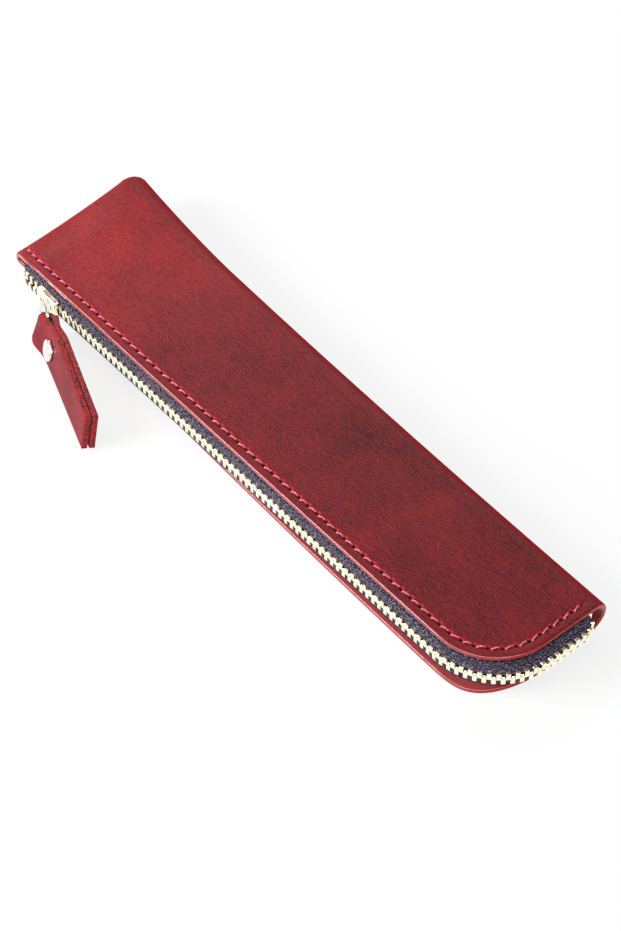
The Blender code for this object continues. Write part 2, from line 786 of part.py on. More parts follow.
def rivet(frame):
    """The domed cap on the tab's face, and the post with its back plate that goes through both layers."""
    seat = TAB_FACE + GAP
    cap = [(0.0, seat + CAP_HEIGHT)]
    for angle in (70, 50, 30, 10):
        turn = math.radians(angle)
        rise = (CAP_HEIGHT - CAP_RIM) * math.sin(turn)
        cap.append((CAP_RADIUS * math.cos(turn), seat + CAP_RIM + rise))
    cap += [(CAP_RADIUS, seat), (0.0, seat)]
    shade_smooth(turned("rivet_cap", cap, 20, steel, frame))
    post = [(0.0, seat - GAP), (POST_RADIUS, seat - GAP), (POST_RADIUS, -seat), (BACK_RADIUS, -seat)]
    post += [(BACK_RADIUS, -seat - BACK_HEIGHT), (0.0, -seat - BACK_HEIGHT)]
    shade_smooth(turned("rivet_post", post, 16, steel, frame))


def seam_line(start, pitch, edge):
    """Points of a seam in plan, two to a stitch, from the sewn end round to the fold, inside a panel's edge."""
    y_stop = FOLD_AXIS_Y - STITCH_STOP
    radius = CORNER_RADIUS - STITCH_INSET
    straight = ARC_X + HALF_LENGTH - start
    arc = math.pi / 2 * radius
    total = straight + arc + y_stop - ARC_Y
    count = int(total / pitch) * 2
    points = []
    for k in range(count + 1):
        distance = total * k / count
        if distance <= straight:
            x = -HALF_LENGTH + start + distance
            points.append(Vector((x, edge(x) + STITCH_INSET, 0.0)))
        elif distance <= straight + arc:
            turn = (distance - straight) / radius
            points.append(Vector((ARC_X + radius * math.sin(turn), ARC_Y - radius * math.cos(turn), 0.0)))
        else:
            points.append(Vector((HALF_LENGTH - STITCH_INSET, ARC_Y + distance - straight - arc, 0.0)))
    return points


def lifted(points, height):
    """Seam points at a height that a function gives for each point and its number."""
    return [Vector((point.x, point.y, height(point, k))) for k, point in enumerate(points)]


def upper_seam(body):
    """The needle thread in its groove on the upper panel, and the bobbin thread under the tape inside."""
    plan = seam_line(STITCH_START, STITCH_PITCH, upper_edge)
    groove = lifted(plan, lambda point, k: top_height(point.x, point.y))
    boolean(body, "DIFFERENCE", tube("upper_groove", extended(groove[::2]), GROOVE_DEPTH, 2))
    sewn = lifted(plan, lambda point, k: top_height(point.x, point.y) - THREAD_DIP * (1 - k % 2))
    tube("upper_seam_thread", sewn, THREAD_RADIUS, 0, thread)
    depth = LEATHER + 2 * GAP + TAPE + THREAD_RADIUS
    inside = lifted(bobbin_line(plan), lambda point, k: HEIGHT - depth)
    tube("upper_bobbin_thread", inside, THREAD_RADIUS, 0, thread)


def lower_seam(body):
    """The needle thread in its groove under the lower panel, and the bobbin thread on the tape inside."""
    plan = seam_line(LOWER_STITCH_START, STITCH_PITCH, lambda x: max(upper_edge(x), lower_edge(x)))
    groove = lifted(plan, lambda point, k: 0.0)
    boolean(body, "DIFFERENCE", tube("lower_groove", extended(groove[::2]), LOWER_GROOVE_DEPTH, 2))
    sewn = lifted(plan, lambda point, k: THREAD_RADIUS + THREAD_DIP * (1 - k % 2))
    tube("lower_seam_thread", sewn, THREAD_RADIUS, 0, thread)
    depth = LEATHER + 2 * GAP + TAPE + THREAD_RADIUS
    inside = lifted(bobbin_line(plan), lambda point, k: depth)
    tube("lower_bobbin_thread", inside, THREAD_RADIUS, 0, thread)


def bobbin_line(plan):
    """The seam's points past the end ramp, every fourth one, as the bobbin thread lies flat and straight."""
    return [point for point in plan if point.x > -HALF_LENGTH + END_RAMP][::4]


def extended(points):
    """A groove's points with its two ends moved on by a clearance, past the ends of the thread."""
    first = points[0] + (points[0] - points[1]).normalized() * (GAP + THREAD_RADIUS)
    last = points[-1] + (points[-1] - points[-2]).normalized() * (GAP + THREAD_RADIUS)
    return [first] + points[1:-1] + [last]


def end_seam():
    """The thread that oversews the two allowances' raw ends, inside the sewn end."""
    x = -HALF_LENGTH + PANEL_MIDDLE + TURN_RADIUS + ALLOWANCE + GAP + THREAD_RADIUS
    front = lower_edge(x) + LEATHER
    back = fold_axis(x)
    points = []
    for k in range(END_STITCHES + 1):
        y = mix(front, back, k / END_STITCHES)
        place = 3.0 - (y - front) / (back - front)
        middle = section_point(-HALF_LENGTH + PANEL_MIDDLE + TURN_RADIUS, place)[0]
        points.append(Vector((x, y, middle.z + (END_STITCH_REACH if k % 2 else -END_STITCH_REACH))))
    tube("end_seam_thread", points, THREAD_RADIUS, 0, thread)


clear_scene()
parts = new_collection("leather_pencil_case")
cutters = new_collection("cutters")
case_leather = new_material("red_brown_pull_up_leather", (0.21, 0.038, 0.042), 0.42)
tab_leather = new_material("red_leather_tab", (0.36, 0.075, 0.085), 0.45)
woven_tape = new_material("navy_woven_tape", (0.035, 0.027, 0.060), 0.85)
brass = new_material("pale_gold_zip_metal", (0.78, 0.66, 0.36), 0.28, 1.0)
steel = new_material("nickel_plated_steel", (0.78, 0.78, 0.76), 0.22, 1.0)
thread = new_material("pink_red_thread", (0.60, 0.10, 0.16), 0.70)

line, line_length = chain_line()
blank = sheet("leather_body", leather_sections(), LEATHER, case_leather)
bevel(blank, EDGE_BEVEL)
shade_smooth(blank)
tape("upper_tape", 1, woven_tape)
tape("lower_tape", -1, woven_tape)
teeth("upper_teeth", 1, brass)
teeth("lower_teeth", -1, brass)
zip_stops()
slider()
bridge()
link()
tab()
upper_seam(blank)
lower_seam(blank)
end_seam()
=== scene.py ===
"""The looks of the leather pencil case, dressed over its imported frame.

The case lies on its lower panel. X runs along the fold, from the sewn end (-X) to the zipped short end (+X),
Y runs from the zip to the fold, and Z is up.
"""
import math

import bmesh
import bpy
from bisect import bisect_left
from mathutils import Matrix, Vector


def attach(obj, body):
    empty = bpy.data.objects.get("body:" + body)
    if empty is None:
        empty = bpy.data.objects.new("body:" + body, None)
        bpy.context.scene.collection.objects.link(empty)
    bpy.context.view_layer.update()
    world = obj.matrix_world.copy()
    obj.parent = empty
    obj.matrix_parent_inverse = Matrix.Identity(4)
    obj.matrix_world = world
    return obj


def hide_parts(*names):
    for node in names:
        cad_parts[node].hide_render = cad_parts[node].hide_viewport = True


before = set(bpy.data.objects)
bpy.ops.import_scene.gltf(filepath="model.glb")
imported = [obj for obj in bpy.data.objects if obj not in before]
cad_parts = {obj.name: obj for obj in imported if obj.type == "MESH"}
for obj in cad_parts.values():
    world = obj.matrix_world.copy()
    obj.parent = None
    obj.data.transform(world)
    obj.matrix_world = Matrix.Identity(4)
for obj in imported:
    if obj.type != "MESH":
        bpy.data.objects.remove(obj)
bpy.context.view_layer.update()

MM = 0.001

# Leather blank, as the frame has it
LENGTH = 195 * MM
WIDTH = 40.6 * MM
HEIGHT = 12.2 * MM
LEATHER = 1.6 * MM
CORNER_RADIUS = 18 * MM
FOLD_FLARE = 4.8 * MM
FOLD_FLARE_CURVE = 2.2
FOLD_LIFT = 3.0 * MM
FOLD_LIFT_LENGTH = 45 * MM
FOLD_LIFT_CURVE = 1.6
FOLD_LIFT_SPREAD = 1.8
EDGE_BOW = 0.3 * MM
RIM_OUT = 1.6 * MM
RIM_CORNER = 2.0 * MM
RIM_DRAW = 5.4 * MM
RIM_DRAW_CURVE = 1.7
RIM_TUCK = 1.2 * MM
RIM_TUCK_LENGTH = 13.5 * MM
RIM_TUCK_CURVE = 1.5
RIM_BACK = 1.0 * MM
RIM_BACK_LENGTH = 5.0 * MM
END_RAMP = 13 * MM
END_PINCH = 2.4 * MM
END_PUFF = 1.7 * MM
SHOULDER_CURVE = 0.7
TURN_RADIUS = 1.0 * MM
ALLOWANCE = 4.0 * MM
SEAM_GAP = 0.3 * MM
GAP = 0.3 * MM

# Rounding of the raw edges, which the frame leaves square
EDGE_ROUND = 0.65 * MM

# Seams
STITCH_PITCH = 3.5 * MM
STITCH_INSET = 2.8 * MM
STITCH_START = 2.1 * MM
STITCH_STOP = 1.0 * MM
PLY_RADIUS = 0.16 * MM
PLY_OFFSET = 0.12 * MM
STITCH_RISE = 0.16 * MM
STITCH_SINK = 0.5 * MM
STITCH_SLANT = 0.28 * MM
STITCH_END = 0.7 * MM
STITCH_ARCH = 0.35
PLY_HALF_TURNS = 2.5
PLY_STEPS = 14
HOLE_RADIUS = 0.45 * MM
HOLE_DEPTH = 0.6 * MM
SEAM_DEPTH = 0.14 * MM
SEAM_WIDTH = 0.8 * MM
SEAM_OVERRUN = 0.3
BAND = 6.0 * MM
BAND_ROWS = 6
BAND_CURVE = 1.6
FOLD_ROWS = 12
# Shares of a stitch at which the leather has columns of points, and the share that they leave free
# beside the ends of the corner
HOLE_SHARES = (0.0, 0.09, 0.22, 0.5, 0.78, 0.91)
COLUMN_ROOM = 0.05

# Zip
TAPE = 0.5 * MM
TAPE_FLANGE = 7.0 * MM
TAIL_FLANGE = 1.0 * MM
TAPE_BEND = 0.5 * MM
WALL_OUT = 0.3 * MM
END_WALL_OUT = 1.5 * MM
TAPE_START = 6.5 * MM
TURN_IN = 4.2 * MM
TURN_PAST = 0.6 * MM
TAIL = 5.0 * MM
TAIL_END = 1.2 * MM
TRIM_LENGTH = 4.0 * MM
TAPE_COLUMNS = 420
FLANGE_ROWS = 6
BEND_ROWS = 5
WALL_ROWS = 7
ZIP_STEP = 0.25 * MM
CORNER_STEPS = 90
TURN_STEPS = 45
TOOTH_PITCH = 2.25 * MM
TOOTH_WIDTH = 1.15 * MM
TOOTH_DEPTH = 2.0 * MM
TOOTH_ROOT = 1.95 * MM
TOOTH_TIP = 0.4 * MM
TOOTH_ROUND = 0.14 * MM
CUP_INSET = 0.2 * MM
CUP_DEPTH = 0.1 * MM
NIB_INSET = 0.22 * MM
NIB_LENGTH = 0.15 * MM
ROW_SPREAD = 0.8 * MM
ROW_START = 8.3 * MM
STOP_LENGTH = 1.4 * MM
STOP_ROUND = 0.2 * MM
CRIMP_INSET = 0.3 * MM
CRIMP_DEPTH = 0.12 * MM
BEAD_RADIUS = 0.5 * MM

# Slider, bridge and link
SLIDER_FROM_END = 20 * MM
SLIDER_LENGTH = 8.4 * MM
SLIDER_PLATE = 0.9 * MM
SLIDER_ROUND = 0.32 * MM
SLIDER_END_ROUND = 0.9 * MM
SLIDER_SIDE_ROUND = 1.5 * MM
MOUTH_WALL = 0.4 * MM
TAIL_WALL = 0.6 * MM
CHAIN_CLEARANCE = 0.3 * MM
MOUTH_CLEARANCE = 0.2 * MM
TAPE_SLOT = 1.2 * MM
MOUTH_LENGTH = 2.7 * MM
NECK_LENGTH = 2.7 * MM
DIAMOND_LENGTH = 3.0 * MM
DIAMOND_HALF = 0.25 * MM
PARTED_INSIDE = 1.2 * MM
MESHED_INSIDE = 2.4 * MM
BRIDGE_HALF = 2.6 * MM
BRIDGE_WIDTH = 1.8 * MM
BRIDGE_THICKNESS = 0.7 * MM
BRIDGE_ROUND = 0.16 * MM
PIVOT_OUT = 1.3 * MM
PIVOT_ROOM = 0.85 * MM
LINK_WIRE = 0.9 * MM
LINK_LENGTH = 7.0 * MM
LINK_CORNER = 1.0 * MM
LINK_LEAN = math.radians(15)
LINK_TURN = math.radians(27.5)

# Pull tab and its rivet
TAB_LAYER = 1.6 * MM
TAB_SLIT = 0.2 * MM
TAB_PARTED = 0.16 * MM
PARTED_FROM = 0.4
TAB_FLARE = 1.1 * MM
FLARE_END = 9 * MM
FLARE_LENGTH = 7 * MM
FLARE_DROP = 5.5 * MM
TAB_ROUND = 0.35 * MM
LOOP_INNER = 0.95 * MM
LOOP_TAPER = 6.0 * MM
LOOP_TURN = math.radians(100)
TAB_LENGTH = 42.9 * MM
TAB_CUT = 2.8 * MM
TAB_CUT_CURVE = 6
NECK_HALF = 2.2 * MM
LOWER_SIDE = (
    (-0.8, 2.2), (-0.6, 2.9), (-0.2, 3.8), (0.4, 4.6), (1.2, 5.2), (2.2, 5.45), (4.0, 5.5), (6.0, 5.45),
    (8.5, 5.3), (11.2, 5.1), (42.9, 4.45))
UPPER_SIDE = (
    (-0.6, 2.2), (-0.2, 2.8), (0.5, 3.5), (1.5, 4.0), (2.8, 4.15), (4.2, 4.15), (6.5, 4.5), (9.0, 5.2),
    (10.5, 5.6), (12.0, 5.78), (40.1, 4.6))
TAB_LEAN = math.radians(15)
TAB_TURN = math.radians(20.3)
TAB_DROOP = math.radians(1.0)
RIVET_PLACE = 9.4 * MM
RIVET_DROP = 0.8 * MM
CAP_RADIUS = 3.05 * MM
CAP_HEIGHT = 0.9 * MM
CAP_RIM = 0.3 * MM
DOME_TURN = math.radians(80)
DOME_STEPS = 8
PRESS_DEPTH = 0.22 * MM
PRESS_WIDTH = 0.6 * MM
PRESS_REACH = 1.5 * MM
POST_RADIUS = 0.9 * MM
BACK_RADIUS = 2.6 * MM
BACK_HEIGHT = 0.5 * MM
BACK_CHAMFER = 0.15 * MM
DIMPLE_RADIUS = 1.1 * MM
HOLE_REACH = 3 * MM

# Grid of the tab, whose columns lie closer together at the loop
TAB_COLUMNS = 181
TAB_ROWS = 13
TAB_CLOSE_UP = 1.3

HALF_LENGTH = LENGTH / 2
HALF_WIDTH = WIDTH / 2
PANEL_MIDDLE = LEATHER / 2
FOLD_RADIUS = (HEIGHT - LEATHER) / 2
SEAM_HALF = (LEATHER + SEAM_GAP) / 2
END_HEIGHT = 2 * (SEAM_HALF + 2 * TURN_RADIUS) + LEATHER
ARC_X = HALF_LENGTH - CORNER_RADIUS
ARC_Y = CORNER_RADIUS - HALF_WIDTH
FOLD_AXIS_Y = HALF_WIDTH - PANEL_MIDDLE - FOLD_RADIUS
BACK = -HALF_LENGTH + PANEL_MIDDLE
RAMP_END = -HALF_LENGTH + END_RAMP
SLIDER_X = SLIDER_FROM_END - HALF_LENGTH
PARTED_X = SLIDER_X - SLIDER_LENGTH / 2 + PARTED_INSIDE
MESHED_X = SLIDER_X + SLIDER_LENGTH / 2 - MESHED_INSIDE
CHAIN_HEIGHT = HEIGHT / 2
CHAIN_Y = -HALF_WIDTH - WALL_OUT
PLATE_INNER = TOOTH_DEPTH / 2 + CHAIN_CLEARANCE
PLATE_OUTER = PLATE_INNER + SLIDER_PLATE
PIVOT = Vector((SLIDER_X, CHAIN_Y - PLATE_OUTER - PIVOT_OUT, CHAIN_HEIGHT))
LOOP_OUTER = LOOP_INNER + TAB_LAYER
LOOP_MIDDLE = (LOOP_INNER + LOOP_OUTER) / 2
LOOP_RUN = LOOP_TURN * LOOP_MIDDLE
LOOP_END_X = -LOOP_MIDDLE * math.cos(LOOP_TURN)
LOOP_END_Y = LOOP_MIDDLE * math.sin(LOOP_TURN)
TAB_FACE = TAB_SLIT / 2 + TAB_LAYER

# Turns what is made along Z: out of the zip side, and out of the pull tab's face at its rivet
FACE_OUT = Matrix.Rotation(math.pi / 2, 4, "X")
RIVET_FRAME = Matrix.Translation((RIVET_PLACE, 0, RIVET_DROP)) @ Matrix.Rotation(-math.pi / 2, 4, "X")

# Seam line in plan: straight beside the zip, round the corner, and up the short end to the fold
SEAM_STRAIGHT = ARC_X + HALF_LENGTH - STITCH_START
SEAM_ARC = math.pi / 2 * (CORNER_RADIUS - STITCH_INSET)
SEAM_LENGTH = SEAM_STRAIGHT + SEAM_ARC + FOLD_AXIS_Y - STITCH_STOP - ARC_Y
STITCHES = int(SEAM_LENGTH / STITCH_PITCH)
STITCH = SEAM_LENGTH / STITCHES

# Camera, matched to the photograph's frame of 621 by 931
CAMERA_AZIMUTH = math.radians(49.03)
CAMERA_ELEVATION = math.radians(48.76)
CAMERA_ROLL = math.radians(0.956)
CAMERA_DISTANCE = 661.5 * MM
CAMERA_TARGET = Vector((13.71, -5.10, 6.0)) * MM
CAMERA_LENS = 98.8
CAMERA_NEAR = 10 * MM


def mix(start, end, share):
    return start + (end - start) * share


def held(value):
    """A value held between 0 and 1."""
    return min(max(value, 0.0), 1.0)


def eased(share):
    """A share from 0 to 1 that sets off and arrives gently."""
    return share * share * (3.0 - 2.0 * share)


def in_scene(name, data):
    """A new object in the scene that shows the data."""
    made = bpy.data.objects.new(name, data)
    bpy.context.scene.collection.objects.link(made)
    return made


def camera():
    """The camera, turned to the photograph's view of the case."""
    level = math.cos(CAMERA_ELEVATION)
    sine, cosine = math.sin(CAMERA_AZIMUTH), math.cos(CAMERA_AZIMUTH)
    back = Vector((sine * level, -cosine * level, math.sin(CAMERA_ELEVATION)))
    right = Vector((cosine, sine, 0.0))
    up = back.cross(right)
    frame_of_view = Matrix((right, up, back)).transposed().to_4x4()
    lens = bpy.data.cameras.new("camera")
    lens.lens = CAMERA_LENS
    lens.clip_start = CAMERA_NEAR
    viewer = in_scene("camera", lens)
    place = Matrix.Translation(CAMERA_TARGET + back * CAMERA_DISTANCE)
    viewer.matrix_world = place @ frame_of_view @ Matrix.Rotation(CAMERA_ROLL, 4, "Z")
    bpy.context.scene.camera = viewer


# Materials


def linear(code):
    """An sRGB hex colour as linear red, green, blue and alpha."""
    shares = [int(code[k : k + 2], 16) / 255 for k in (0, 2, 4)]
    return [s / 12.92 if s <= 0.04045 else ((s + 0.055) / 1.055) ** 2.4 for s in shares] + [1.0]


def new_finish(name):
    """A material of that name with an empty node tree."""
    material = bpy.data.materials.new(name)
    material.use_nodes = True
    material.node_tree.nodes.clear()
    return material, material.node_tree


def add(tree, kind, inputs=None, out=0, **settings):
    """Adds a node with its settings, gives each input a value or a node's output, and returns an output."""
    node = tree.nodes.new("ShaderNode" + kind)
    for name, value in settings.items():
        setattr(node, name, value)
    for name, value in (inputs or {}).items():
        if isinstance(value, bpy.types.NodeSocket):
            tree.links.new(value, node.inputs[name])
        else:
            node.inputs[name].default_value = value
    return node.outputs[out] if node.outputs else None


def in_mm(tree):
    """The surface's place in millimetres, so that each pattern's scale is one over its size."""
    place = add(tree, "TexCoord", out="Object")
    return add(tree, "VectorMath", {0: place, 1: (1 / MM,) * 3}, operation="MULTIPLY")


def maths(tree, operation, *values):
    return add(tree, "Math", dict(enumerate(values)), operation=operation)


def ramp(tree, value, low, high, first=0.0, last=1.0):
    """A value carried over from low and high to first and last, and held there beyond them."""
    return add(tree, "MapRange", {0: value, 1: low, 2: high, 3: first, 4: last})


def noise(tree, place, size, detail, rough):
    """A soft noise whose patches have that size, in millimetres where the place is."""
    return add(tree, "TexNoise", {"Vector": place, "Scale": 1 / size, "Detail": detail, "Roughness": rough})


def streaks(tree, place, scale, detail=3.0, turn=0):
    """A noise drawn out on each axis by one over its scale there, and turned by that many degrees in plan."""
    turned = (0.0, 0.0, math.radians(turn))
    drawn = add(tree, "Mapping", {"Vector": place, "Rotation": turned, "Scale": scale})
    return noise(tree, drawn, 1.0, detail, 0.6)


def dyed(tree, share, first, second):
    """A colour that turns into another as the share grows. Each is a hex code or a node's output."""
    ends = [linear(end) if isinstance(end, str) else end for end in (first, second)]
    return add(tree, "Mix", {0: share, 6: ends[0], 7: ends[1]}, 2, data_type="RGBA")


def bumped(tree, height, strength, depth):
    """The normal that a height gives the surface, with its depth in millimetres."""
    return add(tree, "Bump", {"Strength": strength, "Distance": depth * MM, "Height": height}, out="Normal")


def finished(material, tree, inputs):
    """Gives a material its shader."""
    shader = add(tree, "BsdfPrincipled", inputs)
    add(tree, "OutputMaterial", {"Surface": shader})
    return material


def hide_leather():
    """Waxed pull-up leather: dark waxed red-brown over a bright red core that shows in flecks and clouds."""
    material, tree = new_finish("waxed_pull_up_leather")
    mm = in_mm(tree)
    # soft clouds where the wax has moved, and a brightening towards the sewn end that is partly the leather's
    # own tone and partly painted light from the lamps at that end
    x = add(tree, "SeparateXYZ", {0: mm})
    shade = ramp(tree, x, 35.0, -75.0, 0.0, 0.42)
    shade = swayed(tree, shade, noise(tree, mm, 30, 3.0, 0.5), 0.9)
    shade = swayed(tree, shade, noise(tree, mm, 7, 2.0, 0.5), 0.25)
    # short creases of the hide, about 1.5 mm long and 0.3 mm wide, which run a little towards the zip
    creases = streaks(tree, mm, (0.7, 2.9, 2.9), 4.0, 15)
    shade = swayed(tree, shade, creases, 1.5)
    # fine tooth of the grain side, which the wax leaves light on its tips and dark in its pores
    shade = swayed(tree, shade, noise(tree, mm, 0.42, 3.0, 0.7), 3.2)
    # stretch lines, about 12 mm long
    shade = swayed(tree, shade, streaks(tree, mm, (0.08, 0.9, 0.9), 3.0, 8), 0.4)
    base = dyed(tree, ramp(tree, shade, -0.35, 1.15), "321216", "ae2a2f")
    # where it faces the back, the fold is painted a brighter red: partly the stretched leather of the fold,
    # where the wax has moved away from the red, and partly painted light that keeps the round of the fold red
    # to its edge
    normal = add(tree, "NewGeometry", out="Normal")
    turned = add(tree, "SeparateXYZ", {0: normal}, out=1)
    base = dyed(tree, ramp(tree, turned, 0.2, 0.8, 0.0, 0.85), base, "b80c18")
    # wax bloom, which dulls the red in soft patches
    bloom = ramp(tree, noise(tree, mm, 16, 2.0, 0.5), 0.5, 0.75, 0.0, 0.3)
    base = dyed(tree, bloom, base, "5c1e22")
    # pores and creases of the grain side, 0.5 mm cells that show as a fine tooth
    cells = add(tree, "TexVoronoi", {"Vector": mm, "Scale": 1 / 0.5, "Randomness": 1.0})
    height = maths(tree, "SUBTRACT", cells, creases)
    return finished(material, tree, {
        "Base Color": seam_marks_and_painted_light(tree, base), "Roughness": ramp(tree, creases, 0.3, 0.7, 0.56, 0.44),
        "Normal": bumped(tree, height, 0.3, 0.06), "IOR": 1.5, "Specular IOR Level": 0.15})


def swayed(tree, value, sway, amount):
    """A value moved up or down by a noise about its middle."""
    return maths(tree, "MULTIPLY_ADD", maths(tree, "SUBTRACT", sway, 0.5), amount, value)


def reach(tree, along, off):
    """How far a place lies from where both its numbers are 0."""
    place = add(tree, "CombineXYZ", {0: along, 1: off})
    return add(tree, "VectorMath", {0: place}, out="Value", operation="LENGTH")


def seam_marks_and_painted_light(tree, base):
    """Paints the needle holes near black, as painted shade in each hole, and the fold side of each hole a
    brighter red, as a painted highlight where the puckered rim catches the light, from the seam's own places.

    The seam attribute holds stitches along the seam and millimetres off its line.
    """
    seam = add(tree, "Attribute", out="Vector", attribute_name="seam")
    along = add(tree, "SeparateXYZ", {0: seam})
    off = along.node.outputs[1]
    away = maths(tree, "MULTIPLY", maths(tree, "PINGPONG", along, 0.5), STITCH / MM)
    hole = ramp(tree, reach(tree, away, off), 0.6, 0.4)
    highlight_off = maths(tree, "SUBTRACT", off, 0.5)
    pucker_highlight = reach(tree, maths(tree, "MULTIPLY", away, 0.6), highlight_off)
    pressed = ramp(tree, maths(tree, "ABSOLUTE", off), 1.3, 0.3, 0.0, 0.45)
    base = dyed(tree, pressed, base, "8c1216")
    # a brighter red on the fold side of each hole: a painted highlight on the puckered rim
    base = dyed(tree, ramp(tree, pucker_highlight, 0.6, 0.2, 0.0, 0.75), base, "cc2a22")
    # near black in each needle hole: painted shade
    return dyed(tree, hole, base, "060203")


def edge_paint():
    """Burnished raw edge, dyed red and rubbed to a gloss: the layered fibres still show as fine lines."""
    material, tree = new_finish("burnished_raw_edge")
    fibre = streaks(tree, in_mm(tree), (0.5, 0.5, 6.0))
    base = dyed(tree, ramp(tree, fibre, 0.35, 0.65), "48040a", "98080f")
    # faces turned to the short end get less gloss and are painted a brighter red: painted light where the key
    # light falls less
    normal = add(tree, "NewGeometry", out="Normal")
    end = ramp(tree, add(tree, "SeparateXYZ", {0: normal}), 0.35, 0.8)
    gloss = ramp(tree, end, 0.0, 1.0, 0.9, 0.25)
    return finished(material, tree, {
        "Base Color": dyed(tree, end, base, "a80a12"), "Roughness": 0.26,
        "Normal": bumped(tree, fibre, 0.12, 0.03), "IOR": 1.5, "Specular IOR Level": gloss,
        "Specular Tint": linear("ffa8a8"), "Coat Weight": gloss, "Coat Roughness": 0.06})


def flesh_side(name, dark, light):
    """The hide's inner face: napped and dry, a duller brown-red; inside the folded tab it is painted nearly
    black, as painted shade in the slit between the layers.
    """
    material, tree = new_finish(name)
    nap = noise(tree, in_mm(tree), 0.5, 4.0, 0.65)
    return finished(material, tree, {
        "Base Color": dyed(tree, ramp(tree, nap, 0.3, 0.7), dark, light), "Roughness": 0.92,
        "Normal": bumped(tree, nap, 0.5, 0.12), "IOR": 1.5, "Sheen Weight": 0.2})


def tab_leather():
    """Smooth dyed leather of the pull tab: pinkish red, close grained, with a soft wax polish."""
    material, tree = new_finish("polished_tab_leather")
    mm = in_mm(tree)
    clouds = noise(tree, mm, 9, 2.0, 0.5)
    base = dyed(tree, ramp(tree, clouds, 0.35, 0.65), "6a1018", "861a22")
    fine = noise(tree, mm, 0.5, 4.0, 0.75)
    return finished(material, tree, {
        "Base Color": dyed(tree, ramp(tree, fine, 0.42, 0.6, 0.0, 0.8), base, "3c0a10"), "Roughness": 0.5,
        "Normal": bumped(tree, fine, 0.25, 0.06), "IOR": 1.5, "Specular IOR Level": 0.15})


def tab_edge():
    """The tab's cut edge: red dye over dark open fibre, so it shows as red and near-black flecks."""
    material, tree = new_finish("dyed_cut_edge")
    fibre = noise(tree, in_mm(tree), 0.6, 3.0, 0.7)
    return finished(material, tree, {
        "Base Color": dyed(tree, ramp(tree, fibre, 0.42, 0.58), "300409", "cc161c"), "Roughness": 0.5,
        "Normal": bumped(tree, fibre, 0.5, 0.1), "IOR": 1.5, "Specular IOR Level": 0.3})


def woven_tape(length, width):
    """Polyester zip tape: a herringbone of dark navy warp and lilac-grey weft, 0.9 mm to a rib."""
    material, tree = new_finish("woven_polyester_tape")
    place = add(tree, "UVMap")
    place = add(tree, "VectorMath", {0: place, 1: (length / MM, width / MM, 1.0)}, operation="MULTIPLY")
    along = add(tree, "SeparateXYZ", {0: place})
    zigzag = maths(tree, "PINGPONG", along.node.outputs[1], 1.1)
    diagonal = maths(tree, "ADD", along, zigzag)
    rib = maths(tree, "SINE", maths(tree, "MULTIPLY", diagonal, 2 * math.pi / 0.9))
    rib = ramp(tree, rib, -1.0, 1.0)
    speck = ramp(tree, noise(tree, place, 0.8, 2.0, 0.7), 0.5, 0.6)
    light = maths(tree, "MULTIPLY", rib, speck)
    height = maths(tree, "ADD", rib, speck)
    return finished(material, tree, {
        "Base Color": dyed(tree, light, "0b0810", "b4a6cc"), "Roughness": 0.8,
        "Normal": bumped(tree, height, 0.6, 0.12), "IOR": 1.5, "Specular IOR Level": 0.2})


def bead_cord():
    """The tape's woven bead that the teeth bite on, near black between them."""
    material, tree = new_finish("woven_bead_cord")
    yarn = noise(tree, in_mm(tree), 0.3, 2.0, 0.6)
    return finished(material, tree, {
        "Base Color": dyed(tree, ramp(tree, yarn, 0.45, 0.75), "0f0c16", "3a3448"), "Roughness": 0.85,
        "Normal": bumped(tree, yarn, 0.6, 0.1), "IOR": 1.5})


def zip_brass():
    """Tumbled pale gold brass: bright on the crowns, with faint handling marks that break the gloss."""
    material, tree = new_finish("tumbled_pale_brass")
    worn = noise(tree, in_mm(tree), 1.3, 3.0, 0.6)
    return finished(material, tree, {
        "Base Color": dyed(tree, ramp(tree, worn, 0.35, 0.7), "ece0b8", "fcf8ec"), "Metallic": 1.0,
        "Roughness": ramp(tree, worn, 0.3, 0.7, 0.18, 0.34), "Normal": bumped(tree, worn, 0.15, 0.03)})


def nickel_plate():
    """Nickel-plated steel of the link and the rivet: clean and bright, with hairline rubs."""
    material, tree = new_finish("nickel_plated_steel")
    rubs = streaks(tree, in_mm(tree), (0.6, 5.0, 5.0))
    return finished(material, tree, {
        "Base Color": dyed(tree, rubs, "cfcdc8", "ebebea"), "Metallic": 1.0,
        "Roughness": ramp(tree, rubs, 0.3, 0.7, 0.14, 0.26)})


def waxed_thread():
    """Waxed polyester thread: pink-red yarn whose crowns catch the light nearly white."""
    material, tree = new_finish("waxed_sewing_thread")
    yarn = noise(tree, in_mm(tree), 0.4, 2.0, 0.6)
    return finished(material, tree, {
        "Base Color": dyed(tree, ramp(tree, yarn, 0.35, 0.65), "b42c54", "ec7ca2"), "Roughness": 0.45,
        "IOR": 1.5, "Sheen Weight": 0.3})


# Making pieces


def name_piece(name):
    """Names the object that an operator has just added, and its mesh."""
    piece = bpy.context.object
    piece.name = name
    piece.data.name = name
    return piece


def new_piece(name, operator, **settings):
    """The piece that a mesh operator adds."""
    bpy.ops.object.select_all(action="DESELECT")
    operator(**settings)
    return name_piece(name)


def select_only(piece):
    bpy.ops.object.select_all(action="DESELECT")
    piece.select_set(True)
    bpy.context.view_layer.objects.active = piece


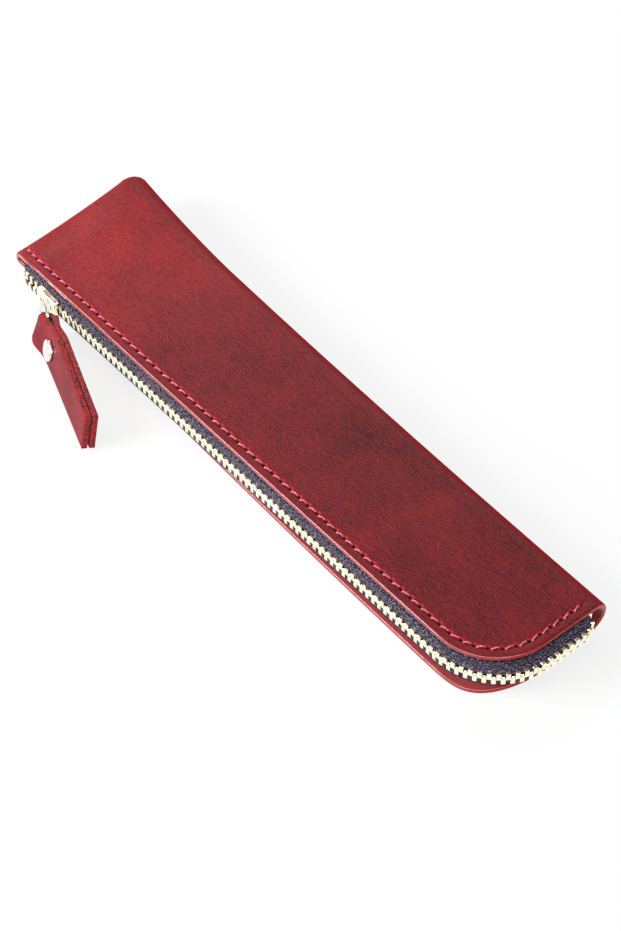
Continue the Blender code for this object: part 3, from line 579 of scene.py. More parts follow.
def edit(piece, mode, keep):
    """Goes into edit mode with those faces, edges or vertices selected whose place and normal pass keep."""
    select_only(piece)
    bpy.ops.object.mode_set(mode="EDIT")
    bpy.ops.mesh.select_mode(type=mode)
    bpy.ops.mesh.select_all(action="DESELECT")
    shape = bmesh.from_edit_mesh(piece.data)
    parts = {"FACE": shape.faces, "EDGE": shape.edges, "VERT": shape.verts}[mode]
    for part in parts:
        centre = part.co if mode == "VERT" else sum((v.co for v in part.verts), Vector()) / len(part.verts)
        part.select_set(keep(centre, part.normal if mode != "EDGE" else None))
    shape.select_flush_mode()
    bmesh.update_edit_mesh(piece.data)


def leave_edit():
    bpy.ops.object.mode_set(mode="OBJECT")


def tidy_normals(piece, merge=1e-6):
    """Merges doubled points and turns every face outwards."""
    edit(piece, "FACE", lambda centre, normal: True)
    bpy.ops.mesh.remove_doubles(threshold=merge)
    bpy.ops.mesh.select_all(action="SELECT")
    bpy.ops.mesh.normals_make_consistent(inside=False)
    leave_edit()


def apply_modifier(piece, kind, **settings):
    select_only(piece)
    modifier = piece.modifiers.new(kind.lower(), kind)
    for name, value in settings.items():
        setattr(modifier, name, value)
    bpy.ops.object.modifier_apply(modifier=modifier.name)


def round_edges(piece, width, segments, angle, **settings):
    """Rounds each edge that turns by more than an angle."""
    apply_modifier(piece, "BEVEL", width=width, segments=segments, limit_method="ANGLE",
                   angle_limit=math.radians(angle), **settings)


def thicken_leather(piece, thickness, materials):
    """Gives a leather sheet its thickness, and its face, flesh side and cut edge their materials."""
    give(piece, materials)
    apply_modifier(piece, "SOLIDIFY", thickness=thickness, offset=0.0, use_even_offset=True,
                   use_quality_normals=True, material_offset=1, material_offset_rim=2)


def smooth(piece, angle=40):
    select_only(piece)
    bpy.ops.object.shade_smooth_by_angle(angle=math.radians(angle))


def move_mesh(piece, place):
    """Sets a piece's mesh down at a place, with its object left at the origin."""
    piece.data.transform(place)
    piece.data.update()


def lay_grid(name, columns, rows, place):
    """A grid whose point in a column and row is laid where place says."""
    piece = new_piece(name, bpy.ops.mesh.primitive_grid_add,
                      x_subdivisions=columns - 1, y_subdivisions=rows - 1, size=1)
    for k, vertex in enumerate(piece.data.vertices):
        vertex.co = place(k % columns, k // columns)
    return piece


def join(name, pieces):
    """Joins pieces into the first one."""
    bpy.ops.object.select_all(action="DESELECT")
    for piece in pieces:
        piece.select_set(True)
    bpy.context.view_layer.objects.active = pieces[0]
    if len(pieces) > 1:
        bpy.ops.object.join()
    return name_piece(name)


def copies(name, model, places):
    """Copies of a model, each with its own mesh set down at its place, joined into one piece."""
    made = []
    for place in places:
        copy = in_scene(model.name, model.data.copy())
        move_mesh(copy, place)
        made.append(copy)
    bpy.data.objects.remove(model, do_unlink=True)
    return join(name, made)


def rounded(corners, steps=5):
    """An outline through corners of x, y and radius, each one rounded."""
    points = []
    for before, corner, after in zip(corners[-1:] + corners[:-1], corners, corners[1:] + corners[:1]):
        tip = Vector(corner[:2])
        to_before = (Vector(before[:2]) - tip).normalized()
        to_after = (Vector(after[:2]) - tip).normalized()
        half = to_before.angle(to_after) / 2
        if corner[2] == 0.0:
            points.append(tip)
            continue
        centre = tip + (to_before + to_after).normalized() * corner[2] / math.sin(half)
        start = tip + to_before * corner[2] / math.tan(half) - centre
        end = tip + to_after * corner[2] / math.tan(half) - centre
        for k in range(steps + 1):
            points.append(centre + start.normalized().slerp(end.normalized(), k / steps) * corner[2])
    return points


def plate(name, outline, low, high):
    """A flat outline extruded from one height to another."""
    piece = new_piece(name, bpy.ops.mesh.primitive_circle_add, vertices=len(outline), fill_type="NGON")
    for vertex, point in zip(piece.data.vertices, outline):
        vertex.co = (point[0], point[1], low)
    edit(piece, "FACE", lambda centre, normal: True)
    bpy.ops.mesh.extrude_region_move(TRANSFORM_OT_translate={"value": (0.0, 0.0, high - low)})
    leave_edit()
    tidy_normals(piece)
    return piece


def spin_profile(name, profile, steps):
    """A profile of radius and height, spun about Z and closed at its poles."""
    piece = new_piece(name, bpy.ops.mesh.primitive_circle_add, vertices=len(profile), fill_type="NOTHING")
    for vertex, (radius, height) in zip(piece.data.vertices, profile):
        vertex.co = (radius, 0.0, height)
    edit(piece, "EDGE", lambda centre, normal: centre.x < 1e-9)
    bpy.ops.mesh.delete(type="EDGE_FACE")
    bpy.ops.mesh.select_all(action="SELECT")
    bpy.ops.mesh.spin(steps=steps, angle=2 * math.pi, center=(0, 0, 0), axis=(0, 0, 1))
    leave_edit()
    tidy_normals(piece, 0.01 * MM)
    return piece


def wire(name, points, radius, resolution, cyclic=False):
    """A round wire along points."""
    curve = bpy.data.curves.new(name, "CURVE")
    curve.dimensions = "3D"
    curve.bevel_depth = radius
    curve.bevel_resolution = resolution
    curve.use_fill_caps = not cyclic
    spline = curve.splines.new("POLY")
    spline.points.add(len(points) - 1)
    for slot, point in zip(spline.points, points):
        slot.co = (*point, 1.0)
    spline.use_cyclic_u = cyclic
    select_only(in_scene(name, curve))
    bpy.ops.object.convert(target="MESH")
    piece = name_piece(name)
    tidy_normals(piece)
    smooth(piece, 60)
    return piece


def give(piece, materials):
    """Gives a piece its materials: the first for its faces, the others for what its modifiers add."""
    piece.data.materials.clear()
    for material in materials:
        piece.data.materials.append(material)


def place_in_frame(piece, body, slot, *replaced):
    """Gives a finished piece its body and hides the frame's nodes that it stands for. The slot is not used.
    """
    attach(piece, body)
    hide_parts(*replaced)


def dress(piece, body, slot, materials, *replaced):
    give(piece, materials)
    place_in_frame(piece, body, slot, *replaced)


# Leather


def pinch(x):
    """1 at the sewn end, where the panels are drawn together, and 0 from the end of the ramp on."""
    return (1.0 - held((x + HALF_LENGTH) / END_RAMP)) ** 2


def straight_edge(x):
    """Y of the line that the zip follows beside the case, which is pinched in at the sewn end."""
    return -HALF_WIDTH + END_PINCH * pinch(x)


def raw_edge(x):
    """Y of the upper panel's raw edge beside the zip, a little bowed."""
    bow = math.sin(math.pi * (min(x, ARC_X) + HALF_LENGTH) / (ARC_X + HALF_LENGTH))
    return straight_edge(x) - EDGE_BOW * bow


def rim_edge(x):
    """Y of the lower panel's raw edge: a rim beyond the zip that is drawn in towards the sewn end."""
    drawn = max(ARC_X - x, 0.0) / (ARC_X + HALF_LENGTH)
    tucked = max(1.0 - (x + HALF_LENGTH) / RIM_TUCK_LENGTH, 0.0)
    return -HALF_WIDTH - RIM_OUT + RIM_DRAW * drawn**RIM_DRAW_CURVE + RIM_TUCK * tucked**RIM_TUCK_CURVE


def fold_axis(x):
    """Y of the fold's axis, which bows out towards the sewn end."""
    return FOLD_AXIS_Y + FOLD_FLARE * (max(HALF_LENGTH - x, 0.0) / LENGTH) ** FOLD_FLARE_CURVE


def fold_lift(x):
    """How much higher the fold stands near the sewn end, where the turned-in leather props it up."""
    return FOLD_LIFT * max(1.0 - (x + HALF_LENGTH) / FOLD_LIFT_LENGTH, 0.0) ** FOLD_LIFT_CURVE


def case_height(x, y):
    """Height of the upper face: lifted at the fold and pinched down at the zip, towards the sewn end."""
    front = held((fold_axis(x) - y) / (fold_axis(x) - raw_edge(x)))
    pinched = (HEIGHT - END_HEIGHT) * pinch(x) * front**SHOULDER_CURVE
    return HEIGHT + fold_lift(x) * (1.0 - front) ** FOLD_LIFT_SPREAD - pinched


def sewn_edge(side, x):
    """Y of the line that a panel's seam keeps its distance from: the raw edge that is further in."""
    return raw_edge(x) if side > 0 else max(raw_edge(x), rim_edge(x))


def row_y(side, place, x):
    """Y of a row of the blank: -1 is the raw edge, 0 the seam, 1 the band's inner line and 2 the fold."""
    seam = sewn_edge(side, x) + STITCH_INSET
    if place < 0:
        outer = raw_edge(x) if side > 0 else rim_edge(x)
        return mix(seam, outer, abs(place) ** BAND_CURVE)
    inner = sewn_edge(side, x) + BAND
    if place <= 1:
        return mix(seam, inner, place**BAND_CURVE)
    return mix(inner, fold_axis(x), place - 1)


def section(row, x):
    """The middle of the case's section at x on one row, and how far the leather's middle lies off it."""
    side, place = row
    if side == 0:
        turn = math.pi * (0.5 - place)
        radius = FOLD_RADIUS + fold_lift(x) / 2
        offset = Vector((0.0, math.cos(turn), math.sin(turn))) * radius
        return Vector((x, fold_axis(x), PANEL_MIDDLE + radius)), offset
    y = row_y(side, place, x)
    half = (case_height(x, y) - LEATHER) / 2
    return Vector((x, y, PANEL_MIDDLE + half)), Vector((0.0, 0.0, side * half))


def row_puff(row):
    """How far along X a row takes to round over at the sewn end: tight at the zip, full at the fold."""
    side, place = row
    if side == 0:
        return END_PUFF
    edge = row_y(side, -1, -HALF_LENGTH)
    share = (row_y(side, place, -HALF_LENGTH) - edge) / (fold_axis(-HALF_LENGTH) - edge)
    return mix(TURN_RADIUS, END_PUFF, share**2)


def blank_point(row, column):
    """A point of the blank's middle, from the turned-in allowance, over the sewn end, and along the panel."""
    kind, value = column
    reach = row_puff(row)
    if kind == "panel":
        first = BACK + TURN_RADIUS
        if value < RAMP_END:
            value = mix(BACK + reach, RAMP_END, (value - first) / (RAMP_END - first))
        centre, offset = section(row, value)
        return centre + offset
    centre, offset = section(row, BACK + reach)
    if kind == "allowance":
        point = centre + offset * SEAM_HALF / offset.length
        point.x = value
        return point
    turn = math.radians(value)
    if kind == "turned":
        point = centre + offset * (SEAM_HALF + TURN_RADIUS * (1.0 - math.cos(turn))) / offset.length
        point.x = BACK + TURN_RADIUS * (1.0 - math.sin(turn))
        return point
    drop = offset.length - SEAM_HALF - TURN_RADIUS
    point = centre + offset * (1.0 - drop * (1.0 - math.cos(turn)) / offset.length)
    point.x = BACK + reach * (1.0 - math.sin(turn))
    return point


def seam_distances():
    """Distances along the seam at which the leather has a column of points, close at each needle hole."""
    stops = [(k + share) * STITCH for k in range(STITCHES) for share in HOLE_SHARES] + [SEAM_LENGTH]
    corners = [SEAM_STRAIGHT, SEAM_STRAIGHT + SEAM_ARC]
    kept = [s for s in stops if all(abs(s - corner) > STITCH * COLUMN_ROOM for corner in corners)]
    return sorted(kept + corners)


def corner_point(side, place, distance):
    """A point of the band beyond the straight side: on the corner, or on the short end up to the fold."""
    rim = RIM_OUT if side < 0 else 0.0
    full = RIM_CORNER if side < 0 else 0.0
    turn = min((distance - SEAM_STRAIGHT) / (CORNER_RADIUS - STITCH_INSET), math.pi / 2)
    beyond = max(distance - SEAM_STRAIGHT - SEAM_ARC, 0.0)
    lines = []
    for inset, wide in ((0.0, rim), (STITCH_INSET, 0.0), (BAND, 0.0)):
        radius = CORNER_RADIUS - inset
        x = ARC_X + radius * math.sin(turn)
        lines.append(Vector((x, ARC_Y - (radius + wide) * math.cos(turn) + beyond, 0.0)))
    outer, seam, inner = lines
    outer.y -= full * math.sin(2 * turn) ** 2
    if place < 0:
        point = mix(seam, outer, abs(place) ** BAND_CURVE)
    else:
        point = mix(seam, inner, place**BAND_CURVE)
    point.z = HEIGHT - PANEL_MIDDLE if side > 0 else PANEL_MIDDLE
    return point


def leather_panels():
    """The folded blank as one sheet: its long field, and each panel's corner band and the field within it."""
    stops = seam_distances()
    straight = [s for s in stops if s <= SEAM_STRAIGHT]
    bend = [s for s in stops if SEAM_STRAIGHT <= s <= SEAM_STRAIGHT + SEAM_ARC]
    leg = [s for s in stops if s >= SEAM_STRAIGHT + SEAM_ARC]
    leg.append(SEAM_LENGTH + STITCH_STOP)
    band = [k / BAND_ROWS for k in range(-BAND_ROWS, BAND_ROWS + 1)]
    field_rows = len(leg) - 1
    field = [1 + k / field_rows for k in range(1, field_rows + 1)]
    rows = [(1, place) for place in band + field]
    rows += [(0, k / FOLD_ROWS) for k in range(1, FOLD_ROWS)]
    rows += [(-1, place) for place in reversed(band + field)]
    columns = [("allowance", BACK + TURN_RADIUS + ALLOWANCE * (1 - k / 2)) for k in range(2)]
    columns += [("turned", angle) for angle in range(0, 91, 15)]
    columns += [("puffed", angle) for angle in range(75, -1, -15)]
    columns += [("panel", s - HALF_LENGTH + STITCH_START) for s in straight]
    patches = [lay_grid("field", len(columns), len(rows), lambda c, r: blank_point(rows[r], columns[c]))]
    beyond = bend + leg[1:]
    for side in (1, -1):
        patches.append(lay_grid("corner_band", len(beyond), len(band),
                                lambda c, r: corner_point(side, band[r], beyond[c])))
        patches.append(corner_field(side, bend, leg))
    fold_ends = [mix(ARC_X, HALF_LENGTH - BAND, k / (len(bend) - 1)) for k in range(len(bend))]
    fold_ends += [corner_point(1, place, leg[-1]).x for place in reversed(band[:-1])]
    fold_rows = [(0, k / FOLD_ROWS) for k in range(FOLD_ROWS + 1)]
    patches.append(lay_grid("fold_end", len(fold_ends), len(fold_rows),
                            lambda c, r: sum(section(fold_rows[r], fold_ends[c]), Vector())))
    return join("leather_case", patches)


def draw_back(case):
    """Draws the lower panel's short end, and the fold under it, back from the upper panel's."""
    seam_x = HALF_LENGTH - STITCH_INSET
    for vertex in case.data.vertices:
        if vertex.co.x <= seam_x or vertex.co.y <= ARC_Y:
            continue
        level = min(max((vertex.co.z - HEIGHT / 2) / FOLD_RADIUS, -1.0), 1.0)
        low = 0.5 - math.asin(level) / math.pi
        past_corner = min((vertex.co.y - ARC_Y) / RIM_BACK_LENGTH, 1.0)
        vertex.co.x -= RIM_BACK * low * past_corner * (vertex.co.x - seam_x) / STITCH_INSET


def corner_field(side, bend, leg):
    """The field inside the corner band, drawn between the band, the long field and the fold."""
    low = [corner_point(side, 1, s) for s in bend]
    right = [corner_point(side, 1, s) for s in leg]
    height = low[0].z
    right[-1].y = fold_axis(right[-1].x)
    columns, rows = len(bend) - 1, len(leg) - 1
    left = [Vector((ARC_X, mix(low[0].y, fold_axis(ARC_X), k / rows), height)) for k in range(rows + 1)]
    xs = [mix(ARC_X, HALF_LENGTH - BAND, k / columns) for k in range(columns + 1)]
    top = [Vector((x, fold_axis(x), height)) for x in xs]

    def place(c, r):
        u, v = c / columns, r / rows
        edges = low[c] * (1 - v) + top[c] * v + left[r] * (1 - u) + right[r] * u
        corners = low[0] * (1 - u) * (1 - v) + low[-1] * u * (1 - v) + top[0] * (1 - u) * v + top[-1] * u * v
        return edges - corners

    return lay_grid("corner_field", columns + 1, rows + 1, place)


def seam_place(side, x, y):
    """Distance along the seam and off its line, inwards, of a point of a panel in plan."""
    if x <= ARC_X:
        return x + HALF_LENGTH - STITCH_START, y - sewn_edge(side, x) - STITCH_INSET
    if y < ARC_Y:
        away = Vector((x - ARC_X, ARC_Y - y))
        turn = math.atan2(away.x, away.y)
        radius = CORNER_RADIUS - STITCH_INSET
        return SEAM_STRAIGHT + turn * radius, radius - away.length
    return SEAM_STRAIGHT + SEAM_ARC + y - ARC_Y, HALF_LENGTH - STITCH_INSET - x


def sink_seams(case):
    """Presses the stitch line and the needle holes into both outer faces, and marks where the seam runs."""
    marks = case.data.attributes.new("seam", "FLOAT_VECTOR", "POINT")
    for vertex, mark in zip(case.data.vertices, marks.data):
        x, y, z = vertex.co
        upper = z > HEIGHT / 2
        along, off = seam_place(1 if upper else -1, x, y)
        first = -SEAM_OVERRUN if upper else 1 - SEAM_OVERRUN
        on_seam = STITCH * first < along < SEAM_LENGTH + STITCH * SEAM_OVERRUN and y < FOLD_AXIS_Y
        mark.vector = (along / STITCH, off / MM if on_seam else BAND / MM, 0.0)
        outside = z > case_height(x, y) - LEATHER / 2 if upper else z < LEATHER / 2
        if not on_seam or not outside or abs(off) > 3 * SEAM_WIDTH:
            continue
        hole = abs(along / STITCH - round(along / STITCH)) * STITCH
        depth = SEAM_DEPTH * math.exp(-((off / SEAM_WIDTH) ** 2))
        depth += (HOLE_DEPTH - SEAM_DEPTH) * math.exp(-(hole**2 + off**2) / HOLE_RADIUS**2)
        vertex.co.z += -depth if upper else depth


def leather_case():
    """The whole blank: grain outside, nap inside and burnished edges."""
    case = leather_panels()
    draw_back(case)
    tidy_normals(case, 0.02 * MM)
    top = max(case.data.polygons, key=lambda face: face.center.z)
    if top.normal.z < 0:
        case.data.flip_normals()
    thicken_leather(case, LEATHER, [grain, nap, paint])
    round_edges(case, EDGE_ROUND, 4, 60, use_clamp_overlap=False)
    sink_seams(case)
    smooth(case, 45)
    place_in_frame(case, "case", "case_leather", "leather_body")


# Stitches


def one_stitch():
    """One stitch of two twisted plies, from needle hole to needle hole along X."""
    plies = []
    for ply in (0, 1):
        points = []
        for k in range(PLY_STEPS + 1):
            share = k / PLY_STEPS
            arch = math.sin(math.pi * share) ** STITCH_ARCH if 0 < share < 1 else 0.0
            x = mix(STITCH_END, STITCH - STITCH_END, share)
            y = mix(-STITCH_SLANT, STITCH_SLANT, share)
            z = mix(-STITCH_SINK, STITCH_RISE, arch)
            twist = math.pi * (PLY_HALF_TURNS * share + ply)
            points.append(Vector((x, y + PLY_OFFSET * math.cos(twist), z + PLY_OFFSET * math.sin(twist))))
        plies.append(wire("ply", points, PLY_RADIUS, 1))
    return join("stitch", plies)


def stitch_places(side, first):
    """Where each stitch of a seam lies: from the hole with that number to the fold."""
    places = []
    for k in range(first, STITCHES):
        start, end = seam_spot(k * STITCH, side), seam_spot((k + 1) * STITCH, side)
        along = (end - start).normalized()
        up = Vector((0.0, 0.0, side))
        across = up.cross(along).normalized()
        turn = Matrix((along, across, along.cross(across))).transposed().to_4x4()
        places.append(Matrix.Translation(start) @ turn)
    return places


def seam_spot(distance, side):
    """A point of the seam on the case's outer face."""
    if distance <= SEAM_STRAIGHT:
        x = distance - HALF_LENGTH + STITCH_START
        y = sewn_edge(side, x) + STITCH_INSET
    else:
        spot = corner_point(side, 0, distance)
        x, y = spot.x, spot.y
    return Vector((x, y, case_height(x, y) if side > 0 else 0.0))


def seams():
    for side, first, name in ((1, 0, "upper"), (-1, 1, "lower")):
        stitches = copies(name + "_stitches", one_stitch(), stitch_places(side, first))
        smooth(stitches, 60)
        dress(stitches, "case", "thread", [thread], name + "_seam_thread")
    for name in ("upper_bobbin_thread", "lower_bobbin_thread", "end_seam_thread"):
        give(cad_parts[name], [thread])


# Zip


def end_wall_out(share):
    """How far the zip stands off the upper panel's edge round the corner: more on the short end."""
    return mix(WALL_OUT, END_WALL_OUT, eased(share))


def zip_line():
    """The zip's middle line in plan, beside the case, round the corner, up the short end and in at the fold.

    Also each point's distance from the start, and the distances where the corner and the turn lie.
    """
    start = -HALF_LENGTH + TAPE_START
    turn_y = FOLD_AXIS_Y + TURN_PAST - TURN_IN
    end_x = HALF_LENGTH + END_WALL_OUT
    steps = int((ARC_X - start) / ZIP_STEP)
    xs = [mix(start, ARC_X, k / steps) for k in range(steps)]
    plan = [Vector((x, straight_edge(x) - WALL_OUT, 0.0)) for x in xs]
    marks = [steps, steps + CORNER_STEPS]
    for k in range(CORNER_STEPS + 1):
        turn = math.radians(90 * k / CORNER_STEPS)
        radius = CORNER_RADIUS + end_wall_out(k / CORNER_STEPS)
        plan.append(Vector((ARC_X + radius * math.sin(turn), ARC_Y - radius * math.cos(turn), 0.0)))
    steps = int((turn_y - ARC_Y) / ZIP_STEP)
    plan += [Vector((end_x, mix(ARC_Y, turn_y, k / steps), 0.0)) for k in range(1, steps)]
    marks.append(len(plan))
    for k in range(TURN_STEPS + 1):
        turn = math.radians(90 * k / TURN_STEPS)
        plan.append(Vector((end_x - TURN_IN * (1 - math.cos(turn)), turn_y + TURN_IN * math.sin(turn), 0.0)))
    marks.append(len(plan) - 1)
    plan.append(plan[-1] - Vector((TAIL, 0.0, 0.0)))
    distances = [0.0]
    for before, after in zip(plan, plan[1:]):
        distances.append(distances[-1] + (after - before).length)
    return plan, distances, [distances[k] for k in marks]


def zip_at(distance):
    """Place and direction of the zip's middle line in plan, and the case's height beside it."""
    k = min(max(bisect_left(zip_distances, distance), 1), len(zip_distances) - 1)
    run = zip_plan[k] - zip_plan[k - 1]
    place = zip_plan[k - 1] + run * (distance - zip_distances[k - 1]) / run.length
    height = HEIGHT if place.x > ARC_X else case_height(place.x, raw_edge(place.x))
    return place, run.normalized(), height


def extra_out(distance):
    """How much further than on the long side the zip stands out from the tapes' sewn flanges."""
    corner, corner_end, turn, turn_end = zip_marks
    share = held((distance - corner) / (corner_end - corner))
    turned = held((distance - turn) / (turn_end - turn))
    return (end_wall_out(share) - WALL_OUT) * (1.0 - turned)


def spread(x):
    """How far each row of teeth stands off the middle: nothing where the zip is closed."""
    return ROW_SPREAD * eased(held((MESHED_X - x) / (MESHED_X - PARTED_X)))


def beside(place, direction, out, height):
    outward = Vector((direction.y, -direction.x, 0.0))
    return place + outward * out + Vector((0.0, 0.0, height))


def tape_profile(distance, x, height):
    """A tape's section as points of out and height, from its flange under the leather to its bead."""
    extra = extra_out(distance)
    flange = mix(TAIL_FLANGE, TAPE_FLANGE, held((zip_marks[2] - distance) / TRIM_LENGTH))
    seat = height - LEATHER - GAP - TAPE / 2
    end = height / 2 + TOOTH_ROOT + spread(x) - BEAD_RADIUS
    points = [(-mix(flange, TAPE_BEND, k / FLANGE_ROWS) - extra, seat) for k in range(FLANGE_ROWS)]
    for k in range(BEND_ROWS):
        turn = math.pi / 2 * k / (BEND_ROWS - 1)
        points.append((-TAPE_BEND * (1 - math.sin(turn)) - extra, seat - TAPE_BEND * (1 - math.cos(turn))))
    for k in range(1, WALL_ROWS + 1):
        share = k / WALL_ROWS
        points.append((-extra * (1 - eased(share)), mix(seat - TAPE_BEND, end, share)))
    return points


def tapes():
    rows = FLANGE_ROWS + BEND_ROWS + WALL_ROWS
    cloth = woven_tape(zip_length, TAPE_FLANGE + HEIGHT / 2)
    bead = bead_cord()
    for side, name in ((1, "upper"), (-1, "lower")):

        def place(c, r):
            distance = zip_length * c / (TAPE_COLUMNS - 1)
            spot, direction, height = zip_at(distance)
            out, up = tape_profile(distance, spot.x, height)[r]
            point = beside(spot, direction, out, up)
            if side > 0 and point.x < RAMP_END and out < -TAPE_BEND:
                point.z += case_height(point.x, max(point.y, raw_edge(point.x))) - height
            if side < 0:
                point.z = height - point.z
            return point

        tape = lay_grid(name + "_woven_tape", TAPE_COLUMNS, rows, place)
        tidy_normals(tape)
        apply_modifier(tape, "SOLIDIFY", thickness=TAPE, offset=0.0, use_even_offset=True)
        smooth(tape, 50)
        dress(tape, "case", "zip_tape", [cloth], name + "_tape")
        points = []
        for k in range(int(row_end / TOOTH_WIDTH)):
            spot, direction, height = zip_at(ROW_START - TAPE_START + k * TOOTH_WIDTH)
            root = TOOTH_ROOT + spread(spot.x) - BEAD_RADIUS
            points.append(beside(spot, direction, 0.0, height / 2 + side * root))
        cord = wire(name + "_bead_cord", points, BEAD_RADIUS, 2)
        dress(cord, "case", "zip_tape", [bead], name + "_teeth")


def metal_block(name, length, low, high, inset, depth):
    """A block as deep as a tooth: X along the zip, Y out of its face, Z up, and a dent in both its faces."""
    block = new_piece(name, bpy.ops.mesh.primitive_cube_add, size=1)
    size = Matrix.Diagonal((length, TOOTH_DEPTH, high - low, 1))
    move_mesh(block, Matrix.Translation((0, 0, (low + high) / 2)) @ size)
    edit(block, "FACE", lambda centre, normal: abs(normal.y) > 0.9)
    bpy.ops.mesh.inset(thickness=inset, depth=-depth, use_individual=True)
    leave_edit()
    return block


def one_tooth():
    """One tooth, cupped in both faces: X along the zip, Y out of its face and Z from its tip to its root."""
    tooth = metal_block("tooth", TOOTH_WIDTH, -TOOTH_TIP, TOOTH_ROOT, CUP_INSET, CUP_DEPTH)
    # the nib at the tip, which locks into the next row
    edit(tooth, "FACE", lambda centre, normal: normal.z < -0.9)
    bpy.ops.mesh.inset(thickness=NIB_INSET)
    bpy.ops.mesh.extrude_region_move(TRANSFORM_OT_translate={"value": (0.0, 0.0, -NIB_LENGTH)})
    leave_edit()
    round_edges(tooth, TOOTH_ROUND, 1, 50)
    return tooth


def upright(spot, direction, height, side):
    """A frame on the zip: X along it, Y out and Z up on the upper row or down on the lower one."""
    outward = Vector((direction.y, -direction.x, 0.0))
    along = direction * -side
    up = Vector((0.0, 0.0, side))
    turn = Matrix((along, outward, up)).transposed().to_4x4()
    return Matrix.Translation(spot + Vector((0.0, 0.0, height))) @ turn


def teeth():
    for side, name in ((1, "upper"), (-1, "lower")):
        places = []
        distance = ROW_START - TAPE_START + TOOTH_WIDTH
        if side < 0:
            distance += TOOTH_PITCH / 2
        while distance < row_end - TOOTH_PITCH:
            spot, direction, height = zip_at(distance)
            places.append(upright(spot, direction, height / 2 + side * spread(spot.x), side))
            distance += TOOTH_PITCH
        row = copies(name + "_row_of_teeth", one_tooth(), places)
        smooth(row, 35)
        dress(row, "case", "zip_metal", [brass], name + "_teeth")


def stop_clip(name, start, low, high, replaced):
    """A clip crimped on the zip: a rounded block with a crimp mark across its face."""
    clip = metal_block(name, STOP_LENGTH, low, high, CRIMP_INSET, CRIMP_DEPTH)
    round_edges(clip, STOP_ROUND, 3, 50)
    spot, direction, height = zip_at(start + STOP_LENGTH / 2)
    move_mesh(clip, upright(spot, direction, height / 2, 1))
    tidy_normals(clip)
    smooth(clip, 50)
    dress(clip, "case", "zip_metal", [brass], replaced)


def stops():
    start = ROW_START - TAPE_START - GAP - STOP_LENGTH
    low, high = ROW_SPREAD - TOOTH_TIP, ROW_SPREAD + TOOTH_ROOT
    stop_clip("upper_stop_clip", start, low, high, "upper_top_stop")
    stop_clip("lower_stop_clip", start, -high, -low, "lower_top_stop")
    stop_clip("end_stop_clip", row_end + GAP, -TOOTH_ROOT, TOOTH_ROOT, "bottom_stop")


# Slider and pull


def mirrored(points):
    return points + [(x, -y, radius) for x, y, radius in reversed(points)]


def cut(piece, cutter, operation="DIFFERENCE"):
    apply_modifier(piece, "BOOLEAN", operation=operation, object=cutter, solver="EXACT")
    bpy.data.objects.remove(cutter, do_unlink=True)


def slider():
    """Two rounded plates with guide walls, joined at the mouth by the diamond that parts the rows."""
    half = SLIDER_LENGTH / 2
    mouth = TOOTH_ROOT + ROW_SPREAD + MOUTH_CLEARANCE
    tail = TOOTH_ROOT + CHAIN_CLEARANCE
    mouth_end = -half + MOUTH_LENGTH
    tail_start = mouth_end + NECK_LENGTH
    wide = mouth + MOUTH_WALL
    narrow = tail + TAIL_WALL
    corners = [(-half, wide, SLIDER_END_ROUND), (mouth_end, wide, SLIDER_SIDE_ROUND)]
    corners += [(tail_start, narrow, SLIDER_SIDE_ROUND), (half, narrow, SLIDER_END_ROUND)]
    body = plate("slider_casting", rounded(mirrored(corners)), -PLATE_OUTER, PLATE_OUTER)
    round_edges(body, SLIDER_ROUND, 3, 50)
    beyond = half + GAP
    channel = [(-beyond, mouth, 0), (mouth_end, mouth, 0), (tail_start, tail, 0), (beyond, tail, 0)]
    cut(body, plate("channel", rounded(mirrored(channel)), -PLATE_INNER, PLATE_INNER))
    slot = [(-beyond, wide + GAP, 0), (beyond, wide + GAP, 0)]
    cut(body, plate("slot", rounded(mirrored(slot)), -TAPE_SLOT / 2, TAPE_SLOT / 2))
    nose = -half + DIAMOND_LENGTH
    diamond = [(-half + DIAMOND_HALF, DIAMOND_HALF, 0), (nose, DIAMOND_HALF / 4, 0)]
    joined = PLATE_OUTER - SLIDER_PLATE / 2
    cut(body, plate("diamond", rounded(mirrored(diamond)), -joined, joined), "UNION")
    move_mesh(body, Matrix.Translation((SLIDER_X, CHAIN_Y, CHAIN_HEIGHT)) @ FACE_OUT)
    tidy_normals(body)
    smooth(body, 40)
    dress(body, "slider", "zip_metal", [brass], "slider_body")


def bridge():
    """The arch over the slider's face: a flat bar spun half round, drawn to its height, its edges rounded."""
    arch = new_piece("slider_arch", bpy.ops.mesh.primitive_plane_add, size=1)
    bar = Matrix.Translation((BRIDGE_HALF - BRIDGE_THICKNESS / 2, 0, 0))
    move_mesh(arch, bar @ Matrix.Diagonal((BRIDGE_THICKNESS, BRIDGE_WIDTH, 1, 1)))
    edit(arch, "FACE", lambda centre, normal: True)
    bpy.ops.mesh.spin(steps=24, angle=-math.pi, center=(0, 0, 0), axis=(0, 1, 0))
    leave_edit()
    rise = (PIVOT_OUT + PIVOT_ROOM - GAP + BRIDGE_THICKNESS) / BRIDGE_HALF
    move_mesh(arch, Matrix.Diagonal((1, 1, rise, 1)))
    tidy_normals(arch)
    round_edges(arch, BRIDGE_ROUND, 3, 60)
    move_mesh(arch, Matrix.Translation((SLIDER_X, CHAIN_Y - PLATE_OUTER, CHAIN_HEIGHT)) @ FACE_OUT)
    tidy_normals(arch)
    smooth(arch, 50)
    dress(arch, "slider", "zip_metal", [brass], "slider_bridge")


